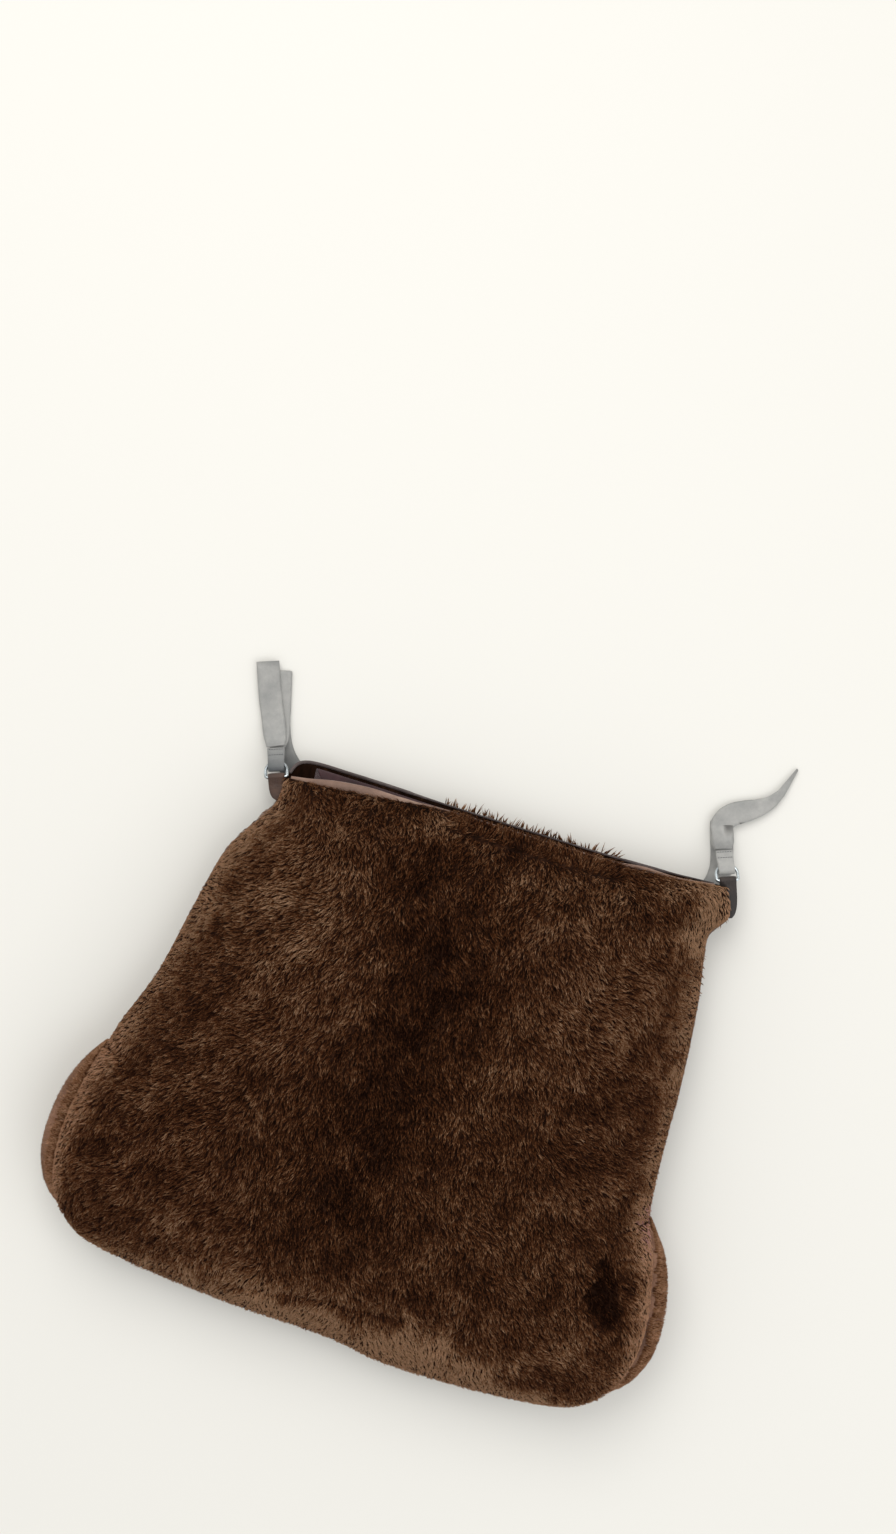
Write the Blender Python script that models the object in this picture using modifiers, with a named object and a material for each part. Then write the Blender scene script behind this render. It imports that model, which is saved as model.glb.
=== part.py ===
"""Hand warmer muff: a fur bag with a hand tunnel across its lower half and a lined pocket above it.

The muff lies on its back. +X runs along its width, +Y towards the pocket's mouth, +Z up through the
front fur. The origin is the middle of the muff's footprint, on the surface it lies on. Metres.
"""

import math

import bmesh
import bpy
from mathutils import Matrix, Vector

# ---------------------------------------------------------------- driving dimensions

# Outline of the pelts, seen from the front, as a few points on each edge, bottom to top, left to right.
CENTRE = Vector((0.0006, 0.0144))
LEFT_EDGE = (
    (-0.170, -0.131), (-0.179, -0.112), (-0.182, -0.085), (-0.178, -0.050), (-0.170, -0.018), (-0.157, 0.020),
    (-0.1495, 0.060), (-0.141, 0.100), (-0.129, 0.122), (-0.121, 0.137), (-0.120, 0.153),
)
RIGHT_EDGE = (
    (0.170, -0.142), (0.180, -0.122), (0.183, -0.095), (0.177, -0.060), (0.167, -0.028), (0.1635, 0.010),
    (0.162, 0.050), (0.158, 0.095), (0.153, 0.125), (0.152, 0.140), (0.160, 0.154), (0.154, 0.170),
)
BOTTOM_EDGE = (
    (-0.170, -0.131), (-0.150, -0.1455), (-0.117, -0.152), (-0.057, -0.157), (0.003, -0.1585),
    (0.043, -0.1635), (0.103, -0.1625), (0.143, -0.158), (0.160, -0.151), (0.170, -0.142),
)
FRONT_TOP_EDGE = (
    (-0.120, 0.153), (-0.087, 0.156), (-0.050, 0.160), (-0.020, 0.163), (0.050, 0.163), (0.110, 0.1645),
    (0.154, 0.170),
)
BACK_TOP_EDGE = (
    (-0.120, 0.153), (-0.112, 0.165), (-0.080, 0.1665), (-0.020, 0.166), (0.050, 0.166), (0.110, 0.167),
    (0.154, 0.170),
)

SEAM_HEIGHT = 0.030  # height of the side seams beside the hand tunnel
MOUTH_HEIGHT = 0.020  # height of the seams at the two top corners
FRONT_DOME = 0.037  # how far the front fur swells above its edges
BACK_DOME = 0.034  # the back swells as far, and is flat where it meets the surface
PELT = 0.0025  # hide with its short backing, without the pile
SEAM_HALF = 0.0034  # from the middle of a seam to the outside of one pelt
LAYER_GAP = 0.0007  # between one layer and the next

OPENING_TOP = 0.36  # where the hand openings end, as a fraction of the side edges
OPENING_HALF = 0.0155  # half the height of a hand opening, outside the pelts
CUFF_REACH = 0.0105  # how far the rolled cuff stands out of the pelts' edges
CUFF_THICK = 0.0022
LINING = 0.0008

MOUTH_CLOSED_HALF = 0.0056  # from the middle of the mouth to the outside of a lip, at the press stud
MOUTH_GAPES = ((0.20, 0.13, 0.0045), (0.86, 0.08, 0.0016))  # where along the mouth, how wide, how much more
POCKET_FLOOR = 0.44  # where the pocket ends, as a fraction of the height
BINDING_RADIUS = 0.0014

WADDING_INSET = (0.075, 0.925, 0.085, 0.850)  # lowest and highest fraction of the width, then of the height
WADDING_LEAST = 0.002

STUD_RADIUS, STUD_THICK = 0.0055, 0.0009
STUD_AT = (0.50, 0.955)  # along the mouth, and up the height

TAB_WIDTH, TAB_THICK, TAB_TAIL = 0.0100, 0.0012, 0.026
RING_WIRE = 0.0010  # radius of the ring's wire
RING_HALF, RING_SIDE = 0.0065, 0.0040  # half the straight bar, and the straight part of each side
RUNNING_GAP = 0.0003
RING_DROOP = math.radians(30)

STRAP_WIDTH, STRAP_THICK = 0.014, 0.0010
STRAP_END_WIDTH, STRAP_END_LENGTH = 0.0105, 0.0200  # the loop sewn round a ring, from the hinge axis
STRAP_SLOT = 0.0042  # how far the loop stays open behind the bow

# Each corner: where the ring's bar is, and how far the strap's way out is turned from +Y.
CORNERS = {
    "left": {"bar": (-0.1255, 0.1515, MOUTH_HEIGHT), "turn": math.radians(21)},
    "right": {"bar": (0.1535, 0.1740, MOUTH_HEIGHT), "turn": math.radians(21)},
}

# Middle lines of the strap: x, y, z, the roll of its flat in degrees, its width as a share of STRAP_WIDTH.
# A tail is the end that lies free beyond the sewn loop. A run turns back under it, to the hank.
TAILS = {
    "left": (
        (-0.1323, 0.1690, 0.0106, 0, 0.80), (-0.1354, 0.1760, 0.0070, 0, 1), (-0.1396, 0.1850, 0.0042, 0, 1),
        (-0.1448, 0.1960, 0.0036, 0, 1), (-0.1496, 0.2080, 0.0036, 0, 1), (-0.1530, 0.2170, 0.0042, 0, 1),
    ),
    "right": (
        (0.1467, 0.1915, 0.0106, 0, 0.80), (0.1440, 0.1975, 0.0068, 0, 1), (0.1420, 0.2045, 0.0048, 0, 1),
        (0.1442, 0.2105, 0.0044, 4, 1), (0.1490, 0.2148, 0.0042, 8, 1), (0.1545, 0.2180, 0.0040, 8, 0.94),
        (0.1610, 0.2222, 0.0038, 4, 0.76), (0.1672, 0.2280, 0.0036, 0, 0.54),
        (0.1722, 0.2371, 0.0036, 0, 0.30), (0.1748, 0.2450, 0.0030, 0, 0.18),
        (0.1764, 0.2515, 0.0020, 0, 0.10),
    ),
}
RUNS = {
    "left": (
        (-0.1320, 0.1688, 0.0084, 0, 0.80), (-0.1334, 0.1750, 0.0056, 0, 1), (-0.1360, 0.1850, 0.0026, 0, 1),
        (-0.1390, 0.1960, 0.0022, 0, 1), (-0.1420, 0.2070, 0.0023, 0, 1), (-0.1434, 0.2120, 0.0024, 0, 1),
        (-0.1438, 0.2133, 0.0020, 0, 1), (-0.1439, 0.2138, 0.0014, 0, 1), (-0.1437, 0.2130, 0.0008, 0, 1),
        (-0.1433, 0.2115, 0.0006, 0, 1), (-0.1412, 0.2040, 0.0006, 0, 1), (-0.1382, 0.1930, 0.0006, 0, 1),
        (-0.1345, 0.1800, 0.0006, 0, 1), (-0.1280, 0.1670, 0.0006, 0, 1), (-0.1180, 0.1575, 0.0010, 0, 1),
        (-0.1040, 0.1510, 0.0022, 0, 1), (-0.0860, 0.1490, 0.0036, 0, 1),
    ),
    "right": (
        (0.1470, 0.1912, 0.0084, 0, 0.80), (0.1452, 0.1960, 0.0056, 0, 1), (0.1434, 0.2015, 0.0028, 0, 1),
        (0.1422, 0.2053, 0.0024, 0, 1), (0.1418, 0.2066, 0.0020, 0, 1), (0.1417, 0.2071, 0.0014, 0, 1),
        (0.1419, 0.2064, 0.0008, 0, 1), (0.1423, 0.2050, 0.0006, 0, 1), (0.1443, 0.1985, 0.0006, 0, 1),
        (0.1478, 0.1885, 0.0006, 0, 1), (0.1500, 0.1780, 0.0006, 0, 1), (0.1485, 0.1670, 0.0006, 0, 1),
        (0.1415, 0.1578, 0.0006, 0, 1), (0.1270, 0.1520, 0.0010, 0, 1), (0.1070, 0.1500, 0.0022, 0, 1),
        (0.0860, 0.1490, 0.0036, 0, 1),
    ),
}

HANK_AT = (0.000, 0.1490, 0.0042)  # the middle of the folded length behind the mouth
HANK_LENGTH, HANK_WIDTH, HANK_HEIGHT = 0.168, 0.0145, 0.0056
TIE_WIDTH, TIE_THICK, TIE_GAP = 0.007, 0.0008, 0.0004

COLOURS = {
    "fur": ((0.060, 0.036, 0.022), 0.85, 0.0),
    "wadding": ((0.80, 0.78, 0.72), 0.95, 0.0),
    "satin": ((0.075, 0.035, 0.038), 0.35, 0.0),
    "hide": ((0.30, 0.19, 0.14), 0.60, 0.0),
    "leather": ((0.020, 0.017, 0.016), 0.55, 0.0),
    "strap": ((0.400, 0.400, 0.390), 0.70, 0.0),
    "metal": ((0.62, 0.64, 0.65), 0.25, 1.0),
}


# ---------------------------------------------------------------- scene, materials and small helpers


def clear_scene():
    for obj in list(bpy.data.objects):
        bpy.data.objects.remove(obj)


def new_collection(name):
    collection = bpy.data.collections.new(name)
    bpy.context.scene.collection.children.link(collection)
    return collection


def material(name):
    colour, roughness, metallic = COLOURS[name]
    made = bpy.data.materials.new(name)
    made.use_nodes = True
    shader = made.node_tree.nodes["Principled BSDF"]
    shader.inputs["Base Color"].default_value = (*colour, 1.0)
    shader.inputs["Roughness"].default_value = roughness
    shader.inputs["Metallic"].default_value = metallic
    return made


def add(name, data, look):
    obj = bpy.data.objects.new(name, data)
    obj.data.materials.append(material(look))
    PARTS.objects.link(obj)
    return obj


def mesh_from(bm, name, outwards=True):
    """The mesh of bm. A closed shape, or a sleeve, has its faces turned outwards."""
    if outwards:
        bmesh.ops.recalc_face_normals(bm, faces=bm.faces)
    data = bpy.data.meshes.new(name)
    bm.to_mesh(data)
    bm.free()
    data.shade_smooth()
    return data


def thicken(obj, thickness, side=-1.0):
    """Gives an open surface its thickness, behind its faces, or in front of them where side is 1."""
    solid = obj.modifiers.new("thickness", "SOLIDIFY")
    solid.thickness = thickness
    solid.offset = side


def ease(t):
    t = min(max(t, 0.0), 1.0)
    return t * t * (3 - 2 * t)


# ---------------------------------------------------------------- the muff's shape


def blend_four(s, before, a, b, after):
    """A smooth step from a to b as s goes from 0 to 1, heading on from before and towards after."""
    bend = 2 * before - 5 * a + 4 * b - after
    twist = 3 * a - before - 3 * b + after
    return 0.5 * (2 * a + s * (b - before) + s * s * bend + s**3 * twist)


def along(points, t):
    """The point at the fraction t of a smooth curve through these points."""
    places = [Vector(p) for p in points]
    lengths = [0.0]
    for a, b in zip(places, places[1:]):
        lengths.append(lengths[-1] + (b - a).length)
    wanted = t * lengths[-1]
    i = max(k for k in range(len(places) - 1) if lengths[k] <= max(wanted, 0.0))
    s = (wanted - lengths[i]) / (lengths[i + 1] - lengths[i])
    before = places[i - 1] if i else 2 * places[0] - places[1]
    after = places[i + 2] if i + 2 < len(places) else 2 * places[-1] - places[-2]
    a, b = places[i], places[i + 1]
    return blend_four(s, before, a, b, after)


def place(u, v, top_edge):
    """x and y at the fractions u of the width and v of the height: the four edges, blended between them."""
    left, right = along(LEFT_EDGE, v), along(RIGHT_EDGE, v)
    bottom, top = along(BOTTOM_EDGE, u), along(top_edge, u)
    corners = (
        (1 - u) * (1 - v) * Vector(LEFT_EDGE[0])
        + u * (1 - v) * Vector(RIGHT_EDGE[0])
        + (1 - u) * v * Vector(LEFT_EDGE[-1])
        + u * v * Vector(RIGHT_EDGE[-1])
    )
    return (1 - u) * left + u * right + (1 - v) * bottom + v * top - corners - CENTRE


def middle_height(v):
    """Height of the plane between the front and the back."""
    return SEAM_HEIGHT + (MOUTH_HEIGHT - SEAM_HEIGHT) * ease((v - 0.45) / 0.55)


def opening_half(v):
    """Half the height of a hand opening: a flattened oval that ends in the seams."""
    if v >= OPENING_TOP:
        return SEAM_HALF
    return max(SEAM_HALF, OPENING_HALF * math.sin(math.pi * v / OPENING_TOP) ** 0.5)


def mouth_half(u):
    """Half the height of the mouth: closed at the stud, gaping beside it, and sewn at its ends."""
    gape = sum(more * math.exp(-(((u - at) / wide) ** 2)) for at, wide, more in MOUTH_GAPES)
    ends = ease(min(u, 1 - u) / 0.07)
    return SEAM_HALF + (MOUTH_CLOSED_HALF - SEAM_HALF + gape) * ends


def edge_half(u, v):
    """Half the thickness that the four edges alone would give."""
    from_opening = (opening_half(v) - SEAM_HALF) * (1 - ease(min(u, 1 - u) / 0.30))
    from_mouth = (mouth_half(u) - SEAM_HALF) * v * v
    return SEAM_HALF + from_opening + from_mouth


def swell(u, v, across, upright):
    """1 in the middle and 0 along the four edges."""
    return ((1 - abs(2 * u - 1) ** across) * (1 - abs(2 * v - 1) ** upright)) ** 0.55


def front_height(u, v):
    return middle_height(v) + edge_half(u, v) + FRONT_DOME * swell(u, v, 3.6, 3.2)


def back_height(u, v):
    """The underside: flat on the surface, and raised behind the mouth, where the strap is put away."""
    raised = 1 - 0.85 * ease((v - 0.70) / 0.20)
    return max(0.0, middle_height(v) - edge_half(u, v) - BACK_DOME * raised * swell(u, v, 5.0, 4.2))


def on_front(u, v, depth=0.0):
    x, y = place(u, v, FRONT_TOP_EDGE)
    return Vector((x, y, front_height(u, v) - depth))


def on_back(u, v, depth=0.0):
    x, y = place(u, v, BACK_TOP_EDGE)
    return Vector((x, y, back_height(u, v) + depth))


def grid_of(columns, rows, where):
    """An open sheet of columns by rows faces, each corner put at where(u, v)."""
    bm = bmesh.new()
    bmesh.ops.create_grid(bm, x_segments=columns, y_segments=rows, size=0.5)
    for vertex in bm.verts:
        vertex.co = where(vertex.co.x + 0.5, vertex.co.y + 0.5)
    return bm


def slab_of(columns, rows, where):
    """A closed slab, each corner put at where(u, v, layer), layer 0 on its outside and 1 on its inside."""
    bm = bmesh.new()
    bmesh.ops.create_grid(bm, x_segments=columns, y_segments=rows, size=0.5)
    grown = bmesh.ops.extrude_face_region(bm, geom=list(bm.faces))
    inside = {g for g in grown["geom"] if isinstance(g, bmesh.types.BMVert)}
    for vertex in bm.verts:
        vertex.co = where(vertex.co.x + 0.5, vertex.co.y + 0.5, int(vertex in inside))
    return bm


def tube_of(sides, rows, where, closed_end=False):
    """An open sleeve, each corner put at where(angle, t), t running from 0 to 1 along it."""
    bm = bmesh.new()
    bmesh.ops.create_grid(bm, x_segments=sides, y_segments=rows, size=0.5)
    for vertex in bm.verts:
        vertex.co = where(2 * math.pi * (vertex.co.x + 0.5), vertex.co.y + 0.5)
    bmesh.ops.remove_doubles(bm, verts=bm.verts, dist=1e-6)
    if closed_end:
        rim = [e for e in bm.edges if e.is_boundary and max(w.co.y for w in e.verts) < 0.0]
        bmesh.ops.holes_fill(bm, edges=rim, sides=0)
    return bm


# ---------------------------------------------------------------- fur, wadding and linings


def fur_panels():
    front = add("fur_front", mesh_from(grid_of(26, 24, on_front), "fur_front", outwards=False), "fur")
    thicken(front, PELT)
    back = add("fur_back", mesh_from(grid_of(26, 24, on_back), "fur_back", outwards=False), "fur")
    thicken(back, PELT, side=1.0)


def inner_half(u, v):
    """Half the height of the space that the hand lining and the pocket need."""
    tunnel = 0.0185 * (1 - ease((v - 0.34) / 0.10))
    pocket = 0.0085 * ease((v - 0.36) / 0.10)
    return tunnel + pocket


def wadding_sheets():
    """Two quilted sheets that fill the space between the pelts and the linings."""
    low_u, high_u, low_v, high_v = WADDING_INSET
    for name, surface, side in (("wadding_front", on_front, 1), ("wadding_back", on_back, -1)):

        def where(s, t, layer, surface=surface, side=side):
            u, v = low_u + (high_u - low_u) * s, low_v + (high_v - low_v) * t
            point = surface(u, v, PELT + 3 * LAYER_GAP)
            if layer:
                reach = side * (point.z - middle_height(v))
                point.z = middle_height(v) + side * min(inner_half(u, v), reach - WADDING_LEAST)
            return point

        add(name, mesh_from(slab_of(14, 14, where), name), "wadding")


def oval(angle, power=0.62):
    """A rounded flat oval, as its two sides from -1 to 1."""
    c, s = math.cos(angle), math.sin(angle)
    return math.copysign(abs(c) ** power, c), math.copysign(abs(s) ** power, s)


def hand_lining():
    middle_v = OPENING_TOP / 2
    half = OPENING_HALF - PELT - LAYER_GAP

    def where(angle, t):
        along_v, up = oval(angle, 0.85)
        u = 0.006 + 0.988 * t
        belly = math.sin(math.pi * t)
        v = middle_v + along_v * middle_v * (0.80 + 0.06 * belly)
        x, y = place(u, v, FRONT_TOP_EDGE)
        return Vector((x, y, SEAM_HEIGHT + up * (half + 0.0025 * belly)))

    obj = add("hand_lining", mesh_from(tube_of(28, 16, where), "hand_lining"), "satin")
    thicken(obj, LINING)


def pocket_lining():
    def where(angle, t):
        side, up = oval(angle, 0.5)
        v = POCKET_FLOOR + (0.985 - POCKET_FLOOR) * t
        u = 0.5 + side * (0.36 + 0.05 * math.sin(math.pi * 0.5 * t))
        top = FRONT_TOP_EDGE if up > 0 else BACK_TOP_EDGE
        x, y = place(u, v, top)
        mouth = mouth_half(u) - PELT - LAYER_GAP
        half = 0.0055 + (mouth - 0.0055) * ease((t - 0.45) / 0.5)
        return Vector((x, y, middle_height(v) + up * half))

    bm = tube_of(32, 12, where, closed_end=True)
    obj = add("pocket_lining", mesh_from(bm, "pocket_lining"), "satin")
    thicken(obj, LINING)


# ---------------------------------------------------------------- bindings and cuffs


def tube_curve(name, points, radius, look, cyclic=False):
    data = bpy.data.curves.new(name, "CURVE")
    data.dimensions = "3D"
    data.bevel_depth = radius
    data.bevel_resolution = 2
    data.use_fill_caps = not cyclic
    spline = data.splines.new("POLY")
    spline.points.add(len(points) - 1)
    for knot, point in zip(spline.points, points):
        knot.co = (*point, 1.0)
    spline.use_cyclic_u = cyclic
    return add(name, data, look)


def lip_bindings():
    steps = 34
    for name, surface, sign in (("front_lip", on_front, -1), ("back_lip", on_back, 1)):
        points = []
        for k in range(steps + 1):
            u = 0.045 + 0.91 * k / steps
            point = surface(u, 1.0)
            point.y += BINDING_RADIUS + RUNNING_GAP
            point.z += sign * PELT * 0.5
            points.append(point)
        tube_curve(name, points, BINDING_RADIUS, "hide")


def cuffs():
    """A band of smooth hide rolled over the pelts' edges round each hand opening."""
    middle_v = OPENING_TOP / 2
    rows = ((0.04, 1.00), (0.40, 1.06), (0.78, 0.98), (0.97, 0.80), (0.98, 0.62))

    for name, edge, side in (("left_cuff", LEFT_EDGE, -1), ("right_cuff", RIGHT_EDGE, 1)):

        def where(angle, t, edge=edge, side=side):
            along_v, up = oval(angle, 0.80)
            k = min(int(t * (len(rows) - 1)), len(rows) - 2)
            s = t * (len(rows) - 1) - k
            reach = (rows[k][0] + (rows[k + 1][0] - rows[k][0]) * s) * (1 - 0.80 * abs(along_v) ** 4)
            height = rows[k][1] + (rows[k + 1][1] - rows[k][1]) * s
            v = middle_v + along_v * middle_v * (0.90 + 0.06 * height)
            point = along(edge, v)
            ahead = (along(edge, v + 0.01) - along(edge, max(v - 0.01, 0.0))).normalized()
            outward = Vector((ahead.y, -ahead.x)) * side
            x, y = point + outward * (RUNNING_GAP + CUFF_REACH * reach) - CENTRE
            return Vector((x, y, SEAM_HEIGHT + up * height * OPENING_HALF))

        obj = add(name, mesh_from(tube_of(32, 6, where), name), "hide")
        thicken(obj, CUFF_THICK)


def press_stud():
    """Two discs that meet between the lips and hold the middle of the mouth shut."""
    x, y = place(*STUD_AT, FRONT_TOP_EDGE)
    height = middle_height(STUD_AT[1])
    for name, side in (("stud_socket", 1), ("stud_ball", -1)):
        bm = bmesh.new()
        bmesh.ops.create_cone(
            bm, cap_ends=True, segments=24, radius1=STUD_RADIUS, radius2=STUD_RADIUS, depth=STUD_THICK
        )
        obj = add(name, mesh_from(bm, name), "metal")
        obj.location = (x, y, height + side * (STUD_THICK / 2 + RUNNING_GAP / 2))


# ---------------------------------------------------------------- rings, tabs and the strap's sewn ends


def frame_of(corner):
    """Turns local axes to the row: local X along the ring's bar, local Y the way the strap leaves."""
    bar = Vector(corner["bar"]) - Vector((*CENTRE, 0.0))
    return Matrix.Translation(bar) @ Matrix.Rotation(corner["turn"], 4, "Z")


def outline_solid(name, rings, width, look, matrix):
    """A flat outline in local Y and Z, with its holes, as wide as width along local X."""
    data = bpy.data.curves.new(name, "CURVE")
    data.dimensions = "2D"
    data.fill_mode = "BOTH"
    data.extrude = width / 2
    for ring in rings:
        spline = data.splines.new("POLY")
        spline.points.add(len(ring) - 1)
        for point, (y, z) in zip(spline.points, ring):
            point.co = (y, z, 0.0, 1.0)
        spline.use_cyclic_u = True
    obj = add(name, data, look)
    obj.matrix_world = matrix @ Matrix(((0, 0, 1, 0), (1, 0, 0, 0), (0, 1, 0, 0), (0, 0, 0, 1)))
    return obj


def arc(y, radius, start, end, steps, z=0.0):
    angles = [math.radians(start + (end - start) * k / steps) for k in range(steps + 1)]
    return [(y + radius * math.cos(a), z + radius * math.sin(a)) for a in angles]


def tab(name, matrix):
    """A strip folded round the ring's bar, its two ends sewn into the corner's seam."""
    hole = RING_WIRE + RUNNING_GAP
    outer = hole + TAB_THICK
    half = TAB_THICK / 2
    neck = math.degrees(math.asin(half / outer))
    outside = arc(0.0, outer, -180 + neck, 180 - neck, 14) + [(-TAB_TAIL, half), (-TAB_TAIL, -half)]
    outline_solid(name, [outside, arc(0.0, hole, 0, 345, 23)], TAB_WIDTH, "leather", matrix)


def ring(name, matrix):
    """A wire D: a straight bar in the tab and a round bow for the strap."""
    bow = arc(0.0, RING_HALF, 0, 180, 16, z=RING_SIDE)
    points = [(-RING_HALF, 0.0), (RING_HALF, 0.0), *bow]
    obj = tube_curve(name, [(x, y, 0.0) for x, y in points], RING_WIRE, "metal", cyclic=True)
    obj.matrix_world = matrix
    return obj


def strap_end(name, matrix):
    """The strap's end, turned round the ring's bow and sewn to itself."""
    hole = RING_WIRE + RUNNING_GAP
    outer = hole + STRAP_THICK
    bow = RING_SIDE + RING_HALF
    near = bow - STRAP_SLOT
    neck = math.degrees(math.asin(STRAP_THICK / outer))
    slot = arc(bow, hole, -90, 90, 8) + arc(near, hole, 90, 270, 8)
    sewn = [(STRAP_END_LENGTH, STRAP_THICK), (STRAP_END_LENGTH, -STRAP_THICK)]
    outside = arc(bow, outer, 90, neck, 5) + sewn + arc(bow, outer, -neck, -90, 5)
    outside += arc(near, outer, 270, 90, 10)
    return outline_solid(name, [outside, slot], STRAP_END_WIDTH, "strap", matrix)


def corner_fittings():
    """At each top corner a tab, and hinged on it the ring with the strap's sewn end and free tail."""
    for side, corner in CORNERS.items():
        straight = frame_of(corner)
        drooping = straight @ Matrix.Rotation(-RING_DROOP, 4, "X")
        hinge = bpy.data.objects.new(f"{side}_ring_hinge", None)
        hinge.matrix_world = drooping
        PARTS.objects.link(hinge)
        tab(f"{side}_tab", straight)
        moving = [
            ring(f"{side}_ring", drooping),
            strap_end(f"{side}_strap_end", drooping),
            strap_piece(f"{side}_strap_tail", TAILS[side]),
        ]
        for obj in moving:
            obj.parent = hinge
            obj.matrix_parent_inverse = drooping.inverted()


# ---------------------------------------------------------------- the strap


def smooth_route(points, per_piece):
    """A smooth curve through the route's points, with per_piece steps between each two."""
    route = []
    for i in range(len(points) - 1):
        before, a, b = points[max(i - 1, 0)], points[i], points[i + 1]
        after = points[min(i + 2, len(points) - 1)]
        for k in range(per_piece):
            s = k / per_piece
            route.append([blend_four(s, *four) for four in zip(before, a, b, after)])
    return route + [points[-1]]


def strap_piece(name, route):
    """A flat strap along the route."""
    data = bpy.data.curves.new(name, "CURVE")
    data.dimensions = "3D"
    data.twist_mode = "Z_UP"
    data.extrude = (STRAP_WIDTH - STRAP_THICK) / 2
    data.bevel_depth = STRAP_THICK / 2
    data.bevel_resolution = 0
    data.use_fill_caps = True
    spline = data.splines.new("POLY")
    points = smooth_route(route, 3)
    spline.points.add(len(points) - 1)
    for point, (x, y, z, roll, width) in zip(spline.points, points):
        point.co = (x - CENTRE.x, y - CENTRE.y, z, 1.0)
        point.tilt = math.radians(90 - roll)
        point.radius = width
    return add(name, data, "strap")


def hank():
    """The rest of the strap, folded to and fro behind the mouth, and its tie."""
    middle = Matrix.Translation(Vector(HANK_AT) - Vector((*CENTRE, 0.0)))
    sideways = middle @ Matrix.Rotation(math.radians(-90), 4, "Z")
    radius, straight = HANK_HEIGHT / 2, (HANK_LENGTH - HANK_HEIGHT) / 2
    folds = arc(straight, radius, -90, 90, 10) + arc(-straight, radius, 90, 270, 10)
    outline_solid("strap_hank", [folds], HANK_WIDTH, "strap", sideways)

    def rounded(grow):
        y, z = HANK_WIDTH / 2 + grow - 0.001, HANK_HEIGHT / 2 + grow - 0.001
        corners = ((y, z, 0), (-y, z, 90), (-y, -z, 180), (y, -z, 270))
        return [p for cy, cz, start in corners for p in arc(cy, 0.001, start, start + 90, 3, z=cz)]

    outline_solid("hank_tie", [rounded(TIE_GAP + TIE_THICK), rounded(TIE_GAP)], TIE_WIDTH, "leather", middle)


def build():
    fur_panels()
    wadding_sheets()
    hand_lining()
    pocket_lining()
    lip_bindings()
    cuffs()
    press_stud()
    corner_fittings()
    for side, route in RUNS.items():
        strap_piece(f"{side}_strap_run", route)
    hank()


clear_scene()
PARTS = new_collection("hand_warmer_muff")
build()
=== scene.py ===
"""Looks of the hand warmer muff: pile, pelts, linings, hide trims, press stud, rings and neck strap."""

import math

import bmesh
import bpy
import numpy as np
from mathutils import Matrix, Vector


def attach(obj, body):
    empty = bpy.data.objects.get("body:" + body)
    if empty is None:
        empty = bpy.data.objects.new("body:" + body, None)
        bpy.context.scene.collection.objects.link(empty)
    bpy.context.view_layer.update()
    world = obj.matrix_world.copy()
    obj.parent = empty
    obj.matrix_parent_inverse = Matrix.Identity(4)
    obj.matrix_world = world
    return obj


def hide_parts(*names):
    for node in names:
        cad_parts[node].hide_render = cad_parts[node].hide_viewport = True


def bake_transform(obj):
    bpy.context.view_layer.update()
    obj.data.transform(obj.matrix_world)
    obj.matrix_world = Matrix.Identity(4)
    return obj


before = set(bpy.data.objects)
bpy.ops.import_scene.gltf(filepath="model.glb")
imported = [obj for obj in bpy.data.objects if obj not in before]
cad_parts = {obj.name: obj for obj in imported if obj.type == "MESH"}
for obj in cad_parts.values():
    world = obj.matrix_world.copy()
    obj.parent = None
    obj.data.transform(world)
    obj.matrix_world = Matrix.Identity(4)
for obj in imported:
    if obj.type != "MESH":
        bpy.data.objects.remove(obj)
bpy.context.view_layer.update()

CHANCE = np.random.default_rng(11)
FRONT_HAIRS, BACK_HAIRS, CUFF_HAIRS = 150000, 60000, 15000
HAIRS_PER_PIECE = 18000

# -------------------- the muff's shape, as in the CAD, in metres

CENTRE = np.array((0.0006, 0.0144))
LEFT_EDGE = (
    (-0.170, -0.131), (-0.179, -0.112), (-0.182, -0.085), (-0.178, -0.050), (-0.170, -0.018), (-0.157, 0.020),
    (-0.1495, 0.060), (-0.141, 0.100), (-0.129, 0.122), (-0.121, 0.137), (-0.120, 0.153),
)
RIGHT_EDGE = (
    (0.170, -0.142), (0.180, -0.122), (0.183, -0.095), (0.177, -0.060), (0.167, -0.028), (0.1635, 0.010),
    (0.162, 0.050), (0.158, 0.095), (0.153, 0.125), (0.152, 0.140), (0.160, 0.154), (0.154, 0.170),
)
BOTTOM_EDGE = (
    (-0.170, -0.131), (-0.150, -0.1455), (-0.117, -0.152), (-0.057, -0.157), (0.003, -0.1585),
    (0.043, -0.1635), (0.103, -0.1625), (0.143, -0.158), (0.160, -0.151), (0.170, -0.142),
)
FRONT_TOP_EDGE = (
    (-0.120, 0.153), (-0.087, 0.156), (-0.050, 0.160), (-0.020, 0.163), (0.050, 0.163), (0.110, 0.1645),
    (0.154, 0.170),
)
BACK_TOP_EDGE = (
    (-0.120, 0.153), (-0.112, 0.165), (-0.080, 0.1665), (-0.020, 0.166), (0.050, 0.166), (0.110, 0.167),
    (0.154, 0.170),
)
SEAM_HEIGHT, MOUTH_HEIGHT = 0.030, 0.020
FRONT_DOME, BACK_DOME = 0.037, 0.034
SEAM_HALF, SEAM_CLOSED = 0.0034, 0.0016
OPENING_TOP, OPENING_HALF = 0.36, 0.0155
CUFF_REACH = 0.0105
MOUTH_CLOSED_HALF = 0.0056
MOUTH_GAPES = ((0.20, 0.13, 0.0045), (0.86, 0.08, 0.0016))
POCKET_FLOOR = 0.44
POCKET_HALF = 0.0055
TUNNEL_SPACE, POCKET_SPACE = 0.0185, 0.0085  # half the height that the wadding leaves free
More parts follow.
